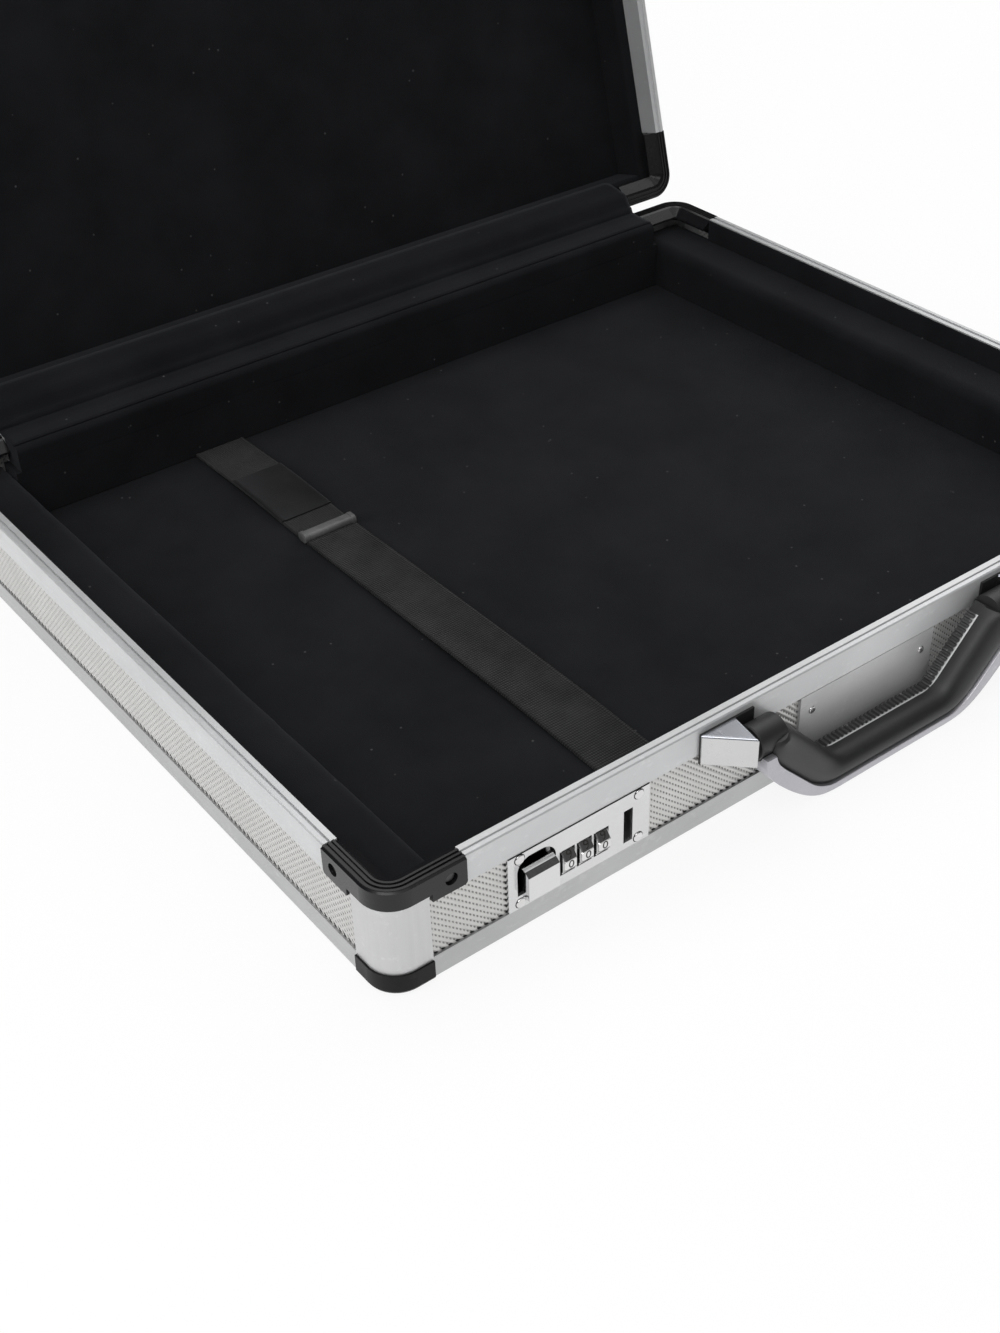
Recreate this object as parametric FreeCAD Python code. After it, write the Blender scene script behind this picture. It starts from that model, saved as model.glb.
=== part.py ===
import FreeCAD, Part
import math
import os

# Laptop hard case: an aluminium tray with a hinged lid, shown open.
# Millimetres. X runs along the front, Y to the hinges, Z up.
# The origin is the middle of the footprint, on the ground.

Vec = FreeCAD.Vector

# Overall sizes
case_width = 468.0
case_depth = 375.0
tray_height = 50.0
lid_height = 42.0
lid_gap = 0.3
open_angle = 105.0

# Clearances that several fits share
seat_gap = 0.3
pin_gap = 0.06
cut_overrun = 1.0

# Turns and steps that many shapes share
quarter_turn = 90
full_turn = 360
half_step = 0.5
arc_steps = 6
strap_steps = 14
ease_share = 0.35

# Extruded edge and rim profiles
skid = 0.6
wall = 1.2
panel_thick = 3.0
base_thick = 2.5
edge_band = 10.2
edge_flange = 14.0
groove_lap = 3.4
rim_band = 12.7
rim_width = 6.0
rim_lap = 3.7
ridge_ease = 0.5
slot_near = 2.3
slot_width = 1.2
slot_depth = 1.4
land_drop = 0.3
tongue_width = 0.6
tongue_bite = 0.9

# Corner posts and corner caps
corner_radius = 12.0
post_reach = 19.5
post_web = 13.0
post_lap = 5.5
cap_reach = 35.2
cap_proud = 0.8
cap_height = 9.3
cap_floor = 11.0
cap_ease = 1.8
cap_slit = 0.9
cap_end_round = 1.5
ridge_pitch = 1.9
ridge_width = 0.9
ridge_depth = 0.6
ridge_count = 3
lip_reach = 11.0
lip_drop = 5.0
lip_thick = 1.2
rivet_place = 28.5
rivet_radius = 2.3
rivet_seat = 1.4
rivet_head = 1.0

# Soft lining
floor_pad_top = 11.8
lining_gap = 0.2
front_pad_face = 19.0
back_pad_face = 20.0
side_pad_face = 32.7
pad_round = 6.0
upstand = 0.8
upstand_drop = 0.9
lid_pad_thick = 3.0
lid_wall_face = 12.0
cover_thick = 0.5
cover_lift = 0.15
cover_gap = 0.4
cover_radius = 4.0
cover_turns = (170, 140, 110)
cover_lap = 6.0

# Luggage strap
strap_middle = -94.5
strap_width = 27.5
strap_thick = 1.4
strap_joint_back = 125.5
strap_wave = 1.6
strap_ends = 12.0
bar_wire = 2.6
bar_length = 9.5
patch_length = 46.0
patch_thick = 0.9

# Locks. Their places along the front are measured from the lock's left end, and
# their heights are shares of the band between the edge and the rim profiles.
lock_place_share = 0.42
lock_length = 65.9
lock_proud = 0.2
lock_window_from = 4.1
lock_window_to = 21.6
lock_window_low_share = 0.235
lock_window_high_share = 0.88
lock_window_round_share = 0.37
dial_from = 24.0
dial_pitch = 7.95
dial_width = 5.6
dial_side_gap = 0.7
dial_count = 3
dial_radius_share = 0.26
dial_height_share = 0.4
dial_depth_share = 0.57
dial_facets = 10
dial_flat_share = 0.84
dial_bite = 0.35
dial_edge = 0.4
window_gap = 0.3
axle_share = 0.22
hasp_slot_from = 53.5
hasp_slot_width = 4.3
hasp_slot_low_share = 0.118
hasp_slot_high_share = 0.715
screw_inset = 5.3
screw_inset_z = 2.6
screw_radius = 2.1
screw_proud = 0.5
screw_round_share = 0.8
lock_case_inset = 2.3
lock_case_foot = 1.3
lock_case_head = 1.7
lock_case_room = 2.3
lock_case_wall = 1.0
partition_share = 0.707

# Thumb slider and its bolt arm
slide_travel = 3.0
thumb_length = 14.0
thumb_low_share = 0.21
thumb_lip_share = 0.64
thumb_crest_share = 0.7
thumb_high_share = 0.72
thumb_proud = 4.3
thumb_crest_out_share = 0.47
slide_plate_thick = 1.2
slide_lap = 1.4
bolt_low_share = 0.726
bolt_high_share = 0.84
bolt_near = 6.0
bolt_far = 8.0
hook_width = 1.6
nose_reach = 4.2
nose_low_share = 0.384
nose_high_share = 0.498
nose_near = 7.5
nose_far = 9.5

# Hasps on the lid, in the closed case
hasp_pivot_rise = 7.0
hasp_pivot_out = 3.7
hasp_knuckle = 2.6
hasp_half_width = 8.0
hasp_thick = 1.6
hasp_low_share = 0.08
hasp_pop_angle = 60.0
hasp_pin_radius = 1.2
tongue_thick = 3.3
tongue_low_share = 0.27
tongue_high_share = 0.612
tongue_reach = 12.0
tongue_window_gap = 0.7
hasp_bracket_low_rise = 1.6
hasp_bracket_high_rise = 12.0
bracket_plate = 0.6
ear_width = 1.6

# Handle and its brackets, measured from the middle
handle_pivot_out = 8.5
handle_pivot_drop = 11.0
bracket_tip = 91.4
bracket_inner = 73.8
bracket_depth = 16.2
bracket_toe = 2.7
bracket_tip_thick = 0.5
bracket_drop = 2.8
bracket_height = 14.0
bracket_round = 1.0
base_plate_end = 64.4
base_plate_thick = 1.0
boss_radius = 7.3
boss_inner = 60.0
pin_radius = 2.5
pin_bite = 7.0
handle_front = 18.3
handle_back = 2.6
handle_round = 5.0
grip_finger_share = 0.351
grip_finger_half = 30.7
arm_finger_x = 54.9
arm_finger_rise = 0.7
frame_low_share = 0.023
frame_flat_half = 36.0
frame_knee_x = 47.0
frame_knee_share = 0.128
frame_arm_x = 66.0
frame_arm_share = 0.628
frame_end_x = 72.4
frame_thick = 3.3
frame_slant_share = 1.15
frame_rise_share = 0.86
frame_bend_share = 0.4
rib_pitch = 2.3
rib_share = 0.5
rib_strip_width = 4.2
rib_strip_thick = 0.9
rib_depth = 0.8
rib_edge = 0.7

# Name plate, left bare
name_half_width = 37.8
name_screw_x = 31.2
name_screw_share = 0.673
name_screw_radius = 1.7

# Hinges
hinge_out = 3.2
hinge_knuckle = 3.0
hinge_pin = 1.5
hinge_place = 130.0
hinge_length = 50.0
hinge_leaf = 1.2
hinge_drop = 11.5
hinge_gap = 0.3

# Places worked out from the sizes
front = -case_depth / 2
back = case_depth / 2
left = -case_width / 2
right = case_width / 2
hinge_y = back + hinge_out
hinge_z = tray_height + lid_gap / 2
closed_top = tray_height + lid_gap + lid_height
profile_floor = skid + wall
base_top = profile_floor + base_thick
lip_top = base_top + wall
edge_top = skid + edge_band
inner_wall = wall + panel_thick
inner_face = inner_wall + wall
rivet_drop = rim_band - rim_lap - rivet_radius - seat_gap
lock_low = edge_top + lock_proud / 2
lock_high = tray_height - rim_band - lock_proud / 2
ledge_height = tray_height - rim_band
strap_joint = back - strap_joint_back

# The lock between the corner cap and the handle bracket, and its heights
lock_room = case_width / 2 - bracket_tip - lock_length - cap_reach
lock_from = cap_reach + lock_place_share * lock_room
lock_band = lock_high - lock_low
lock_window_low = lock_low + lock_window_low_share * lock_band
lock_window_high = lock_low + lock_window_high_share * lock_band
lock_window_round = lock_window_round_share * (lock_window_high - lock_window_low)
dial_radius = dial_radius_share * lock_band
dial_height = lock_low + dial_height_share * lock_band
dial_depth = dial_depth_share * dial_radius
axle_radius = axle_share * dial_radius
hasp_slot_low = lock_low + hasp_slot_low_share * lock_band
hasp_slot_high = lock_low + hasp_slot_high_share * lock_band
lock_case_low = lock_low + lock_case_foot
lock_case_high = lock_high - lock_case_head
lock_case_depth = dial_depth + dial_radius + lock_case_room + lock_case_wall
partition_high = lock_low + partition_share * lock_band
thumb_from = lock_window_from + slide_travel + window_gap - slide_lap
thumb_low = lock_low + thumb_low_share * lock_band
thumb_lip = lock_low + thumb_lip_share * lock_band
thumb_crest = lock_low + thumb_crest_share * lock_band
thumb_high = lock_low + thumb_high_share * lock_band
bolt_low = lock_low + bolt_low_share * lock_band
bolt_high = lock_low + bolt_high_share * lock_band
nose_low = lock_low + nose_low_share * lock_band
nose_high = lock_low + nose_high_share * lock_band
hasp_low = lock_low + hasp_low_share * lock_band
tongue_low = lock_low + tongue_low_share * lock_band
tongue_high = lock_low + tongue_high_share * lock_band
name_screw_z = lock_low + name_screw_share * lock_band

# Heights of the hasp brackets and of the handle, from the tray's rim
hasp_pivot_z = tray_height + hasp_pivot_rise
bracket_low = tray_height + hasp_bracket_low_rise
bracket_high = tray_height + hasp_bracket_high_rise
bracket_top = tray_height - bracket_drop
bracket_bottom = bracket_top - bracket_height
handle_pivot_z = tray_height - handle_pivot_drop
grip_finger_z = handle_pivot_z * grip_finger_share
arm_finger_z = handle_pivot_z + arm_finger_rise
frame_low_z = handle_pivot_z * frame_low_share
frame_knee_z = handle_pivot_z * frame_knee_share
frame_arm_z = handle_pivot_z * frame_arm_share


def block(x_span, y_span, z_span):
    size = [span[1] - span[0] for span in (x_span, y_span, z_span)]
    return Part.makeBox(size[0], size[1], size[2], Vec(x_span[0], y_span[0], z_span[0]))


def rod(radius, x_span, y, z):
    return Part.makeCylinder(radius, x_span[1] - x_span[0], Vec(x_span[0], y, z), Vec(1, 0, 0))


def stud(radius, y_span, x, z):
    return Part.makeCylinder(radius, y_span[1] - y_span[0], Vec(x, y_span[0], z), Vec(0, 1, 0))


def outline_face(points):
    return Part.Face(Part.makePolygon(points + points[:1]))


def bar(section, x_span):
    # a straight extrusion along X of a section given as (inward, up)
    face = outline_face([Vec(x_span[0], u, z) for u, z in section])
    return face.extrude(Vec(x_span[1] - x_span[0], 0, 0))


def fused(shapes):
    return shapes[0].multiFuse(shapes[1:]).removeSplitter()


def group(shapes):
    return Part.makeCompound(shapes)


def moved(shape, x, y, z):
    copy = shape.copy()
    copy.translate(Vec(x, y, z))
    return copy


def mirrored_x(shape):
    return shape.mirror(Vec(0, 0, 0), Vec(1, 0, 0))


def both_sides(shape):
    return [shape, mirrored_x(shape)]


def turned_x(shape, y, z, angle):
    copy = shape.copy()
    copy.rotate(Vec(0, y, z), Vec(1, 0, 0), angle)
    return copy


# Sides: a side piece is drawn with X along the side from its middle,
# Y inward from the outer face, and then turned to its place.
side_turns = {"front": 0, "back": 180, "left": -90, "right": 90}
side_places = {"front": (0, front), "back": (0, back), "left": (left, 0), "right": (right, 0)}
side_lengths = {"front": case_width, "back": case_width, "left": case_depth, "right": case_depth}


def to_side(shape, side):
    copy = shape.copy()
    copy.rotate(Vec(0, 0, 0), Vec(0, 0, 1), side_turns[side])
    x, y = side_places[side]
    return moved(copy, x, y, 0)


def side_span(side, end_gap):
    half = side_lengths[side] / 2 - end_gap
    return (-half, half)


def to_corners(shape):
    # a corner piece is drawn with the outer corner at the origin
    flipped = mirrored_x(shape)
    behind = shape.mirror(Vec(0, 0, 0), Vec(0, 1, 0))
    behind_flipped = mirrored_x(behind)
    places = [(shape, left, front), (flipped, right, front)]
    places += [(behind, left, back), (behind_flipped, right, back)]
    return [moved(piece, x, y, 0) for piece, x, y in places]


def swapped(shape):
    # exchanges the two arms of a corner piece
    return shape.mirror(Vec(0, 0, 0), Vec(1, -1, 0))


def corner_bend(section, reach):
    face = outline_face([Vec(corner_radius, u, z) for u, z in section])
    turn = face.revolve(Vec(corner_radius, corner_radius, 0), Vec(0, 0, -1), quarter_turn)
    arm = bar(section, (corner_radius, reach))
    return fused([turn, arm, swapped(arm)])


def to_lid(shape):
    # lid pieces are drawn like the tray, outer panel down, then turned over and opened
    copy = shape.mirror(Vec(0, 0, 0), Vec(0, 0, 1))
    copy = moved(copy, 0, 0, closed_top)
    return turned_x(copy, hinge_y, hinge_z, -open_angle)


def opened(shape):
    # pieces drawn in the closed case
    return turned_x(shape, hinge_y, hinge_z, -open_angle)


# Extruded profiles

def edge_section():
    return [(ridge_ease, skid), (edge_flange, skid), (edge_flange, profile_floor),
            (inner_face, profile_floor), (inner_face, base_top), (edge_flange, base_top),
            (edge_flange, lip_top), (inner_face, lip_top), (inner_face, skid + edge_band - groove_lap),
            (inner_wall, skid + edge_band - groove_lap), (inner_wall, profile_floor),
            (wall, profile_floor), (wall, edge_top), (0, edge_top), (0, skid + ridge_ease)]


def rim_section(height, tongue):
    low = height - rim_band
    panel_top = height - rim_band + rim_lap
    far = slot_near + slot_width
    section = [(0, low), (wall, low), (wall, panel_top), (inner_wall, panel_top),
               (inner_wall, low), (rim_width, low)]
    if tongue:
        near = slot_near + (slot_width - tongue_width) / 2
        top = height + lid_gap + tongue_bite
        section += [(rim_width, height), (near + tongue_width, height), (near + tongue_width, top),
                    (near, top), (near, height)]
    else:
        section += [(rim_width, height - land_drop), (far, height - land_drop),
                    (far, height - slot_depth), (slot_near, height - slot_depth), (slot_near, height)]
    return section + [(ridge_ease, height), (0, height - ridge_ease)]


def side_bars(section, end_gap):
    return {side: to_side(bar(section, side_span(side, end_gap)), side) for side in side_turns}


def side_panel(side, height):
    span = side_span(side, post_web + wall)
    top = height - rim_band + rim_lap
    return block(span, (wall, inner_wall), (profile_floor, top))


def base_panel():
    return block((left + inner_face, right - inner_face), (front + inner_face, back - inner_face),
                 (profile_floor, base_top))


# Corners

def corner_post(height):
    top = height - rim_band + rim_lap
    skin = corner_bend([(0, cap_height), (wall, cap_height), (wall, top), (0, top)], post_reach)
    web = block((post_web, post_web + wall), (wall, inner_wall), (cap_height, top))
    clasp = block((post_web, post_reach + post_lap), (inner_wall, inner_wall + wall / 2),
                  (cap_height, top))
    return fused([skin, web, clasp, swapped(web), swapped(clasp)])


def bottom_cap():
    half_ease = cap_ease * ease_share
    section = [(-cap_proud + cap_ease, 0), (cap_floor, 0), (cap_floor, profile_floor),
               (wall, profile_floor), (wall, cap_height), (-cap_proud, cap_height),
               (-cap_proud, cap_ease), (-cap_proud + half_ease, half_ease)]
    return corner_bend(section, post_reach)


def ridge_line(height):
    # the stepped top of a rim corner, from the inside outwards
    points = []
    for index in reversed(range(ridge_count)):
        start = index * ridge_pitch
        points += [(start + ridge_width, height - ridge_depth), (start + ridge_width, height)]
        points += [(start, height), (start, height - ridge_depth)]
    return points


def rim_corner(height):
    panel_top = height - rim_band + rim_lap
    low = height - rim_band + seat_gap
    lip_base = height - lip_drop - lip_thick
    top = [(rim_width, lip_base), (lip_reach, lip_base), (lip_reach, height - lip_drop),
           (rim_width, height - 2 * ridge_depth)]
    top += ridge_line(height)
    top += [(-cap_proud, height - ridge_depth - ridge_ease)]
    bend = corner_bend([(-cap_proud, panel_top), (rim_width, panel_top)] + top, post_reach)
    tab_section = [(-cap_proud, low), (wall, low), (wall, panel_top), (rim_width, panel_top)]
    tab = bar(tab_section + top, (post_reach, cap_reach))
    recess = stud(rivet_radius + seat_gap, (-cap_proud - cut_overrun, rivet_seat),
                  rivet_place, height - rivet_drop)
    slit = block((post_reach, post_reach + cap_slit), (-cap_proud - cut_overrun, wall + cut_overrun),
                 (low - cut_overrun, panel_top))
    tab = tab.cut(recess).cut(slit)
    lower_end = [edge for edge in tab.Edges if edge.BoundBox.ZMax < low + seat_gap / 2
                 and edge.BoundBox.XMin > cap_reach - seat_gap / 2 and edge.BoundBox.YLength > wall]
    tab = tab.makeFillet(cap_end_round, lower_end)
    return fused([bend, tab, swapped(tab)])


def corner_rivets(height):
    head = stud(rivet_radius, (rivet_seat - rivet_head, rivet_seat), rivet_place, height - rivet_drop)
    shoulder = rivet_head / 3
    head = head.makeChamfer(shoulder, [edge for edge in head.Edges
                                       if edge.BoundBox.YMax < rivet_seat - shoulder])
    pieces = []
    for side_piece in (head, swapped(head)):
        pieces += to_corners(side_piece)
    return group(pieces)


def shell(height, tongue):
    # everything that the tray and the lid have alike
    rim_bars = side_bars(rim_section(height, tongue), cap_reach)
    if tongue:
        rim_bars["back"] = to_side(bar(rim_section_flat(height), side_span("back", cap_reach)), "back")
    return {
        "rim_profiles": group(list(rim_bars.values())),
        "edge_profiles": group(list(side_bars(edge_section(), post_reach).values())),
        "corner_posts": group(to_corners(corner_post(height))),
        "rim_corners": group(to_corners(rim_corner(height))),
        "outer_corners": group(to_corners(bottom_cap())),
        "corner_rivets": corner_rivets(height),
        "panel": base_panel(),
    }


def rim_section_flat(height):
    # the hinge side of the lid has no tongue
    return [point for point in rim_section(height, True) if point[1] <= height]


# Locks: drawn at the left of the front side, measured from the left face

def lock_x(place):
    return left + lock_from + place


def lock_box(x_span, u_span, z_span):
    return block((lock_x(x_span[0]), lock_x(x_span[1])), (front + u_span[0], front + u_span[1]),
                 z_span)


def through_plate():
    return (-lock_proud - cut_overrun, wall + cut_overrun)


def dial_start(index):
    return dial_from + index * dial_pitch


def wheels_end():
    return dial_start(dial_count - 1) + dial_width


def hook_start():
    # clear of the wheels' partition when the slider is pushed
    return wheels_end() + dial_side_gap + lock_case_wall + slide_travel + seat_gap


def thumb_window():
    opening = lock_box((lock_window_from, lock_window_to), through_plate(),
                       (lock_window_low, lock_window_high))
    shoulders = [edge for edge in opening.Edges
                 if edge.BoundBox.ZMin > lock_window_high - seat_gap
                 and edge.BoundBox.YLength > wall]
    return opening.makeFillet(lock_window_round, shoulders)


def hasp_slot(u_span):
    return lock_box((hasp_slot_from, hasp_slot_from + hasp_slot_width), u_span,
                    (hasp_slot_low, hasp_slot_high))


def lock_screw_places():
    return [(x, z) for x in (screw_inset, lock_length - screw_inset)
            for z in (lock_low + screw_inset_z, lock_high - screw_inset_z)]


def lock_plate():
    plate = lock_box((0, lock_length), (-lock_proud, wall), (lock_low, lock_high))
    for index in range(dial_count):
        span = (lock_x(dial_start(index) - dial_side_gap),
                lock_x(dial_start(index) + dial_width + dial_side_gap))
        plate = plate.cut(rod(dial_radius + window_gap, span, front + dial_depth, dial_height))
    plate = plate.cut(thumb_window())
    plate = plate.cut(hasp_slot(through_plate()))
    for x, z in lock_screw_places():
        plate = plate.cut(stud(screw_radius + window_gap, (front - lock_proud - cut_overrun,
                                                           front + wall + cut_overrun), lock_x(x), z))
    return plate


def lock_screws():
    screws = []
    for x, z in lock_screw_places():
        head = stud(screw_radius, (front - lock_proud - screw_proud, front + wall), lock_x(x), z)
        rim = [edge for edge in head.Edges if edge.BoundBox.YMax < front - lock_proud]
        screws.append(head.makeFillet(screw_proud * screw_round_share, rim))
    return screws


def lock_case():
    x_span = (lock_case_inset, lock_length - lock_case_inset)
    body = lock_box(x_span, (wall, lock_case_depth), (lock_case_low, lock_case_high))
    room = lock_box((x_span[0] + lock_case_wall, x_span[1] - lock_case_wall),
                    (wall - cut_overrun, lock_case_depth - lock_case_wall),
                    (lock_case_low + lock_case_wall, lock_case_high - lock_case_wall))
    body = body.cut(room)
    for x in (dial_start(0) - dial_side_gap - lock_case_wall, wheels_end() + dial_side_gap):
        partition = lock_box((x, x + lock_case_wall), (wall, lock_case_depth - lock_case_wall / 2),
                             (lock_case_low + lock_case_wall / 2, partition_high))
        body = body.fuse(partition)
    axle_hole = rod(axle_radius + pin_gap, (lock_x(dial_from - dial_pitch / 2),
                                            lock_x(wheels_end() + dial_pitch / 2)),
                    front + dial_depth, dial_height)
    return body.cut(axle_hole).removeSplitter()


def lock_axle():
    x_from = dial_start(0) - dial_side_gap - lock_case_wall
    x_to = wheels_end() + dial_side_gap + lock_case_wall
    return rod(axle_radius, (lock_x(x_from), lock_x(x_to)), front + dial_depth, dial_height)


def dial_outline(place, radius):
    # flats for the numbers, with a finger groove between each two
    turn = full_turn / dial_facets
    corners = [(-dial_flat_share / 2, 1), (dial_flat_share / 2, 1),
               (half_step, 1 - dial_bite / dial_radius)]
    points = []
    for step in range(dial_facets):
        for lead, share in corners:
            angle = math.radians(turn * (step + lead))
            points.append(Vec(lock_x(place), front + dial_depth - radius * share * math.cos(angle),
                              dial_height + radius * share * math.sin(angle)))
    return Part.makePolygon(points + points[:1])


def lock_dial(index):
    # a ten-sided wheel, eased at both ends
    start, end = dial_start(index), dial_start(index) + dial_width
    outlines = [dial_outline(start, dial_radius - dial_edge),
                dial_outline(start + dial_edge, dial_radius),
                dial_outline(end - dial_edge, dial_radius),
                dial_outline(end, dial_radius - dial_edge)]
    rings = [Part.makeLoft([first, second], True, True)
             for first, second in zip(outlines, outlines[1:])]
    bore = rod(axle_radius + pin_gap, (lock_x(start) - cut_overrun, lock_x(end) + cut_overrun),
               front + dial_depth, dial_height)
    return fused(rings).cut(bore)


def thumb_slider():
    thumb_to = thumb_from + thumb_length
    back_face = lock_proud + seat_gap
    knob_outline = [(back_face, thumb_low), (lock_proud + thumb_proud, thumb_low + seat_gap),
                    (lock_proud + thumb_proud, thumb_lip),
                    (lock_proud + thumb_proud * thumb_crest_out_share, thumb_crest),
                    (back_face, thumb_high)]
    knob = outline_face([Vec(lock_x(thumb_from), front - out, z) for out, z in knob_outline])
    knob = knob.extrude(Vec(thumb_length, 0, 0))
    inside = wall + seat_gap
    neck = lock_box((thumb_from + slide_lap, thumb_to - slide_lap), (-back_face, inside),
                    (lock_window_low + seat_gap, thumb_high - seat_gap))
    plate = lock_box((thumb_from + seat_gap, thumb_to + seat_gap),
                     (inside, inside + slide_plate_thick),
                     (lock_window_low - slide_lap, lock_window_high))
    hook_from = hook_start()
    hook_to = hook_from + hook_width
    arm = lock_box((thumb_from + slide_lap, hook_to), (bolt_near, bolt_far), (bolt_low, bolt_high))
    web = lock_box((thumb_from + slide_lap, thumb_from + 2 * slide_lap), (inside, bolt_far),
                   (bolt_low, bolt_high))
    hook = lock_box((hook_from, hook_to), (bolt_near, nose_far), (nose_low, bolt_high))
    nose = lock_box((hook_from, hook_to + nose_reach), (nose_near, nose_far), (nose_low, nose_high))
    return fused([knob, neck, plate, web, arm, hook, nose])


# Hasps, drawn closed over the left lock

def hasp_middle():
    return lock_x(hasp_slot_from + hasp_slot_width / 2)


def hasp():
    middle = hasp_middle()
    x_span = (middle - hasp_half_width, middle + hasp_half_width)
    y = front - hasp_pivot_out
    inner = y + hasp_knuckle
    leaf = block(x_span, (inner - hasp_thick, inner), (hasp_low, hasp_pivot_z))
    knuckle = rod(hasp_knuckle, x_span, y, hasp_pivot_z)
    tongue_span = (middle - tongue_thick / 2, middle + tongue_thick / 2)
    tongue = block(tongue_span, (inner - hasp_thick, front + tongue_reach), (tongue_low, tongue_high))
    window = block((tongue_span[0] - cut_overrun, tongue_span[1] + cut_overrun),
                   (front + nose_near - tongue_window_gap, front + nose_far + tongue_window_gap),
                   (nose_low - tongue_window_gap, nose_high + tongue_window_gap))
    body = fused([leaf, knuckle, tongue]).cut(window)
    bore = rod(hasp_pin_radius + pin_gap, (x_span[0] - cut_overrun, x_span[1] + cut_overrun),
               y, hasp_pivot_z)
    return opened(turned_x(body.cut(bore), y, hasp_pivot_z, -hasp_pop_angle))


def ear_spans():
    middle = hasp_middle()
    near = hasp_half_width + seat_gap
    return [(middle - near - ear_width, middle - near), (middle + near, middle + near + ear_width)]


def hasp_bracket():
    # each ear with its foot on the lid's rim
    pieces = []
    for x_span in ear_spans():
        foot = block(x_span, (front - hasp_pivot_out - hasp_knuckle / 2, front),
                     (hasp_pivot_z - hasp_knuckle, hasp_pivot_z + hasp_knuckle))
        nose = rod(hasp_knuckle, x_span, front - hasp_pivot_out - hasp_knuckle / 2, hasp_pivot_z)
        pieces.append(foot.fuse(nose).removeSplitter())
    plate = block((ear_spans()[0][0], ear_spans()[1][1]), (front - bracket_plate / 2, front),
                  (bracket_low, bracket_high))
    bracket = fused(pieces + [plate])
    bore = rod(hasp_pin_radius + pin_gap, (ear_spans()[0][0] - cut_overrun,
                                           ear_spans()[1][1] + cut_overrun),
               front - hasp_pivot_out, hasp_pivot_z)
    return opened(bracket.cut(bore))


def hasp_pin():
    x_span = (ear_spans()[0][0], ear_spans()[1][1])
    return opened(rod(hasp_pin_radius, x_span, front - hasp_pivot_out, hasp_pivot_z))


# Handle

def handle_y():
    return front - handle_pivot_out


def xz_prism(points, y_span):
    face = outline_face([Vec(x, y_span[0], z) for x, z in points])
    return face.extrude(Vec(0, y_span[1] - y_span[0], 0))


def handle_bracket():
    plan = [(bracket_tip, -base_plate_thick), (bracket_inner, -base_plate_thick),
            (bracket_inner + bracket_toe, -bracket_depth),
            (bracket_tip, -base_plate_thick - bracket_tip_thick)]
    face = outline_face([Vec(x, front + u, bracket_bottom) for x, u in plan])
    body = face.extrude(Vec(0, 0, bracket_top - bracket_bottom))
    outer = front - base_plate_thick - seat_gap
    edges = [edge for edge in body.Edges if edge.BoundBox.YMin < outer
             and edge.BoundBox.ZLength < seat_gap and edge.BoundBox.XLength > bracket_toe / 2]
    body = body.makeFillet(bracket_round, edges)
    bore = rod(pin_radius + pin_gap, (bracket_inner - cut_overrun, bracket_inner + pin_bite),
               handle_y(), handle_pivot_z)
    return body.cut(bore)


def handle_base_plate():
    return block((base_plate_end, bracket_tip), (front - base_plate_thick, front),
                 (bracket_bottom, bracket_top))


def handle_pin():
    return rod(pin_radius, (boss_inner + seat_gap, bracket_inner + pin_bite - seat_gap),
               handle_y(), handle_pivot_z)


def handle_depth():
    return (front - handle_front, front - handle_back)


def boss_cutter(gap):
    outer = rod(boss_radius + gap, (boss_inner - gap, bracket_inner + cut_overrun),
                handle_y(), handle_pivot_z)
    return outer


def frame_outer_half():
    # the outer edge runs from the boss round the arm and the knee into the flat
    return [(frame_end_x, handle_pivot_z - boss_radius), (frame_arm_x, frame_arm_z),
            (frame_knee_x, frame_knee_z), (frame_flat_half, frame_low_z)]


def outer_curve(side):
    curve = Part.BSplineCurve()
    points = [Vec(side * x, handle_depth()[0], z) for x, z in frame_outer_half()]
    curve.interpolate(Points=points, InitialTangent=Vec(0, 0, -1), FinalTangent=Vec(-side, 0, 0))
    return curve.toShape()


def frame_inner_half():
    flat = frame_low_z + frame_thick
    slant = frame_thick * frame_slant_share
    rise = frame_thick * frame_rise_share
    return [(-frame_flat_half + frame_thick * frame_bend_share, flat),
            (-frame_knee_x + slant, frame_knee_z + rise), (-frame_arm_x + slant, frame_arm_z + rise),
            (-frame_end_x + slant, handle_pivot_z)]


def handle_frame():
    y = handle_depth()[0]
    ends = [Vec(side * x, y, z) for side in (1, -1) for x, z in (frame_outer_half()[0],
                                                                 frame_outer_half()[-1])]
    tops = [Vec(side * frame_end_x, y, handle_pivot_z) for side in (1, -1)]
    inner = [Vec(x, y, z) for x, z in frame_inner_half()]
    inner = [Vec(-point.x, y, point.z) for point in reversed(inner)] + inner
    edges = [Part.makeLine(tops[0], ends[0]), outer_curve(1), Part.makeLine(ends[1], ends[3]),
             outer_curve(-1), Part.makeLine(ends[2], tops[1]), Part.makeLine(tops[1], inner[-1])]
    edges += [Part.makeLine(first, second) for first, second in zip(inner, inner[1:])]
    edges.append(Part.makeLine(inner[0], tops[0]))
    face = Part.Face(Part.Wire(Part.__sortEdges__(edges)))
    body = face.extrude(Vec(0, handle_depth()[1] - y, 0))
    for side in both_sides(boss_cutter(seat_gap)):
        body = body.cut(side)
    return body


def finger_half():
    return [(-grip_finger_half, grip_finger_z), (-arm_finger_x, arm_finger_z)]


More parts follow.
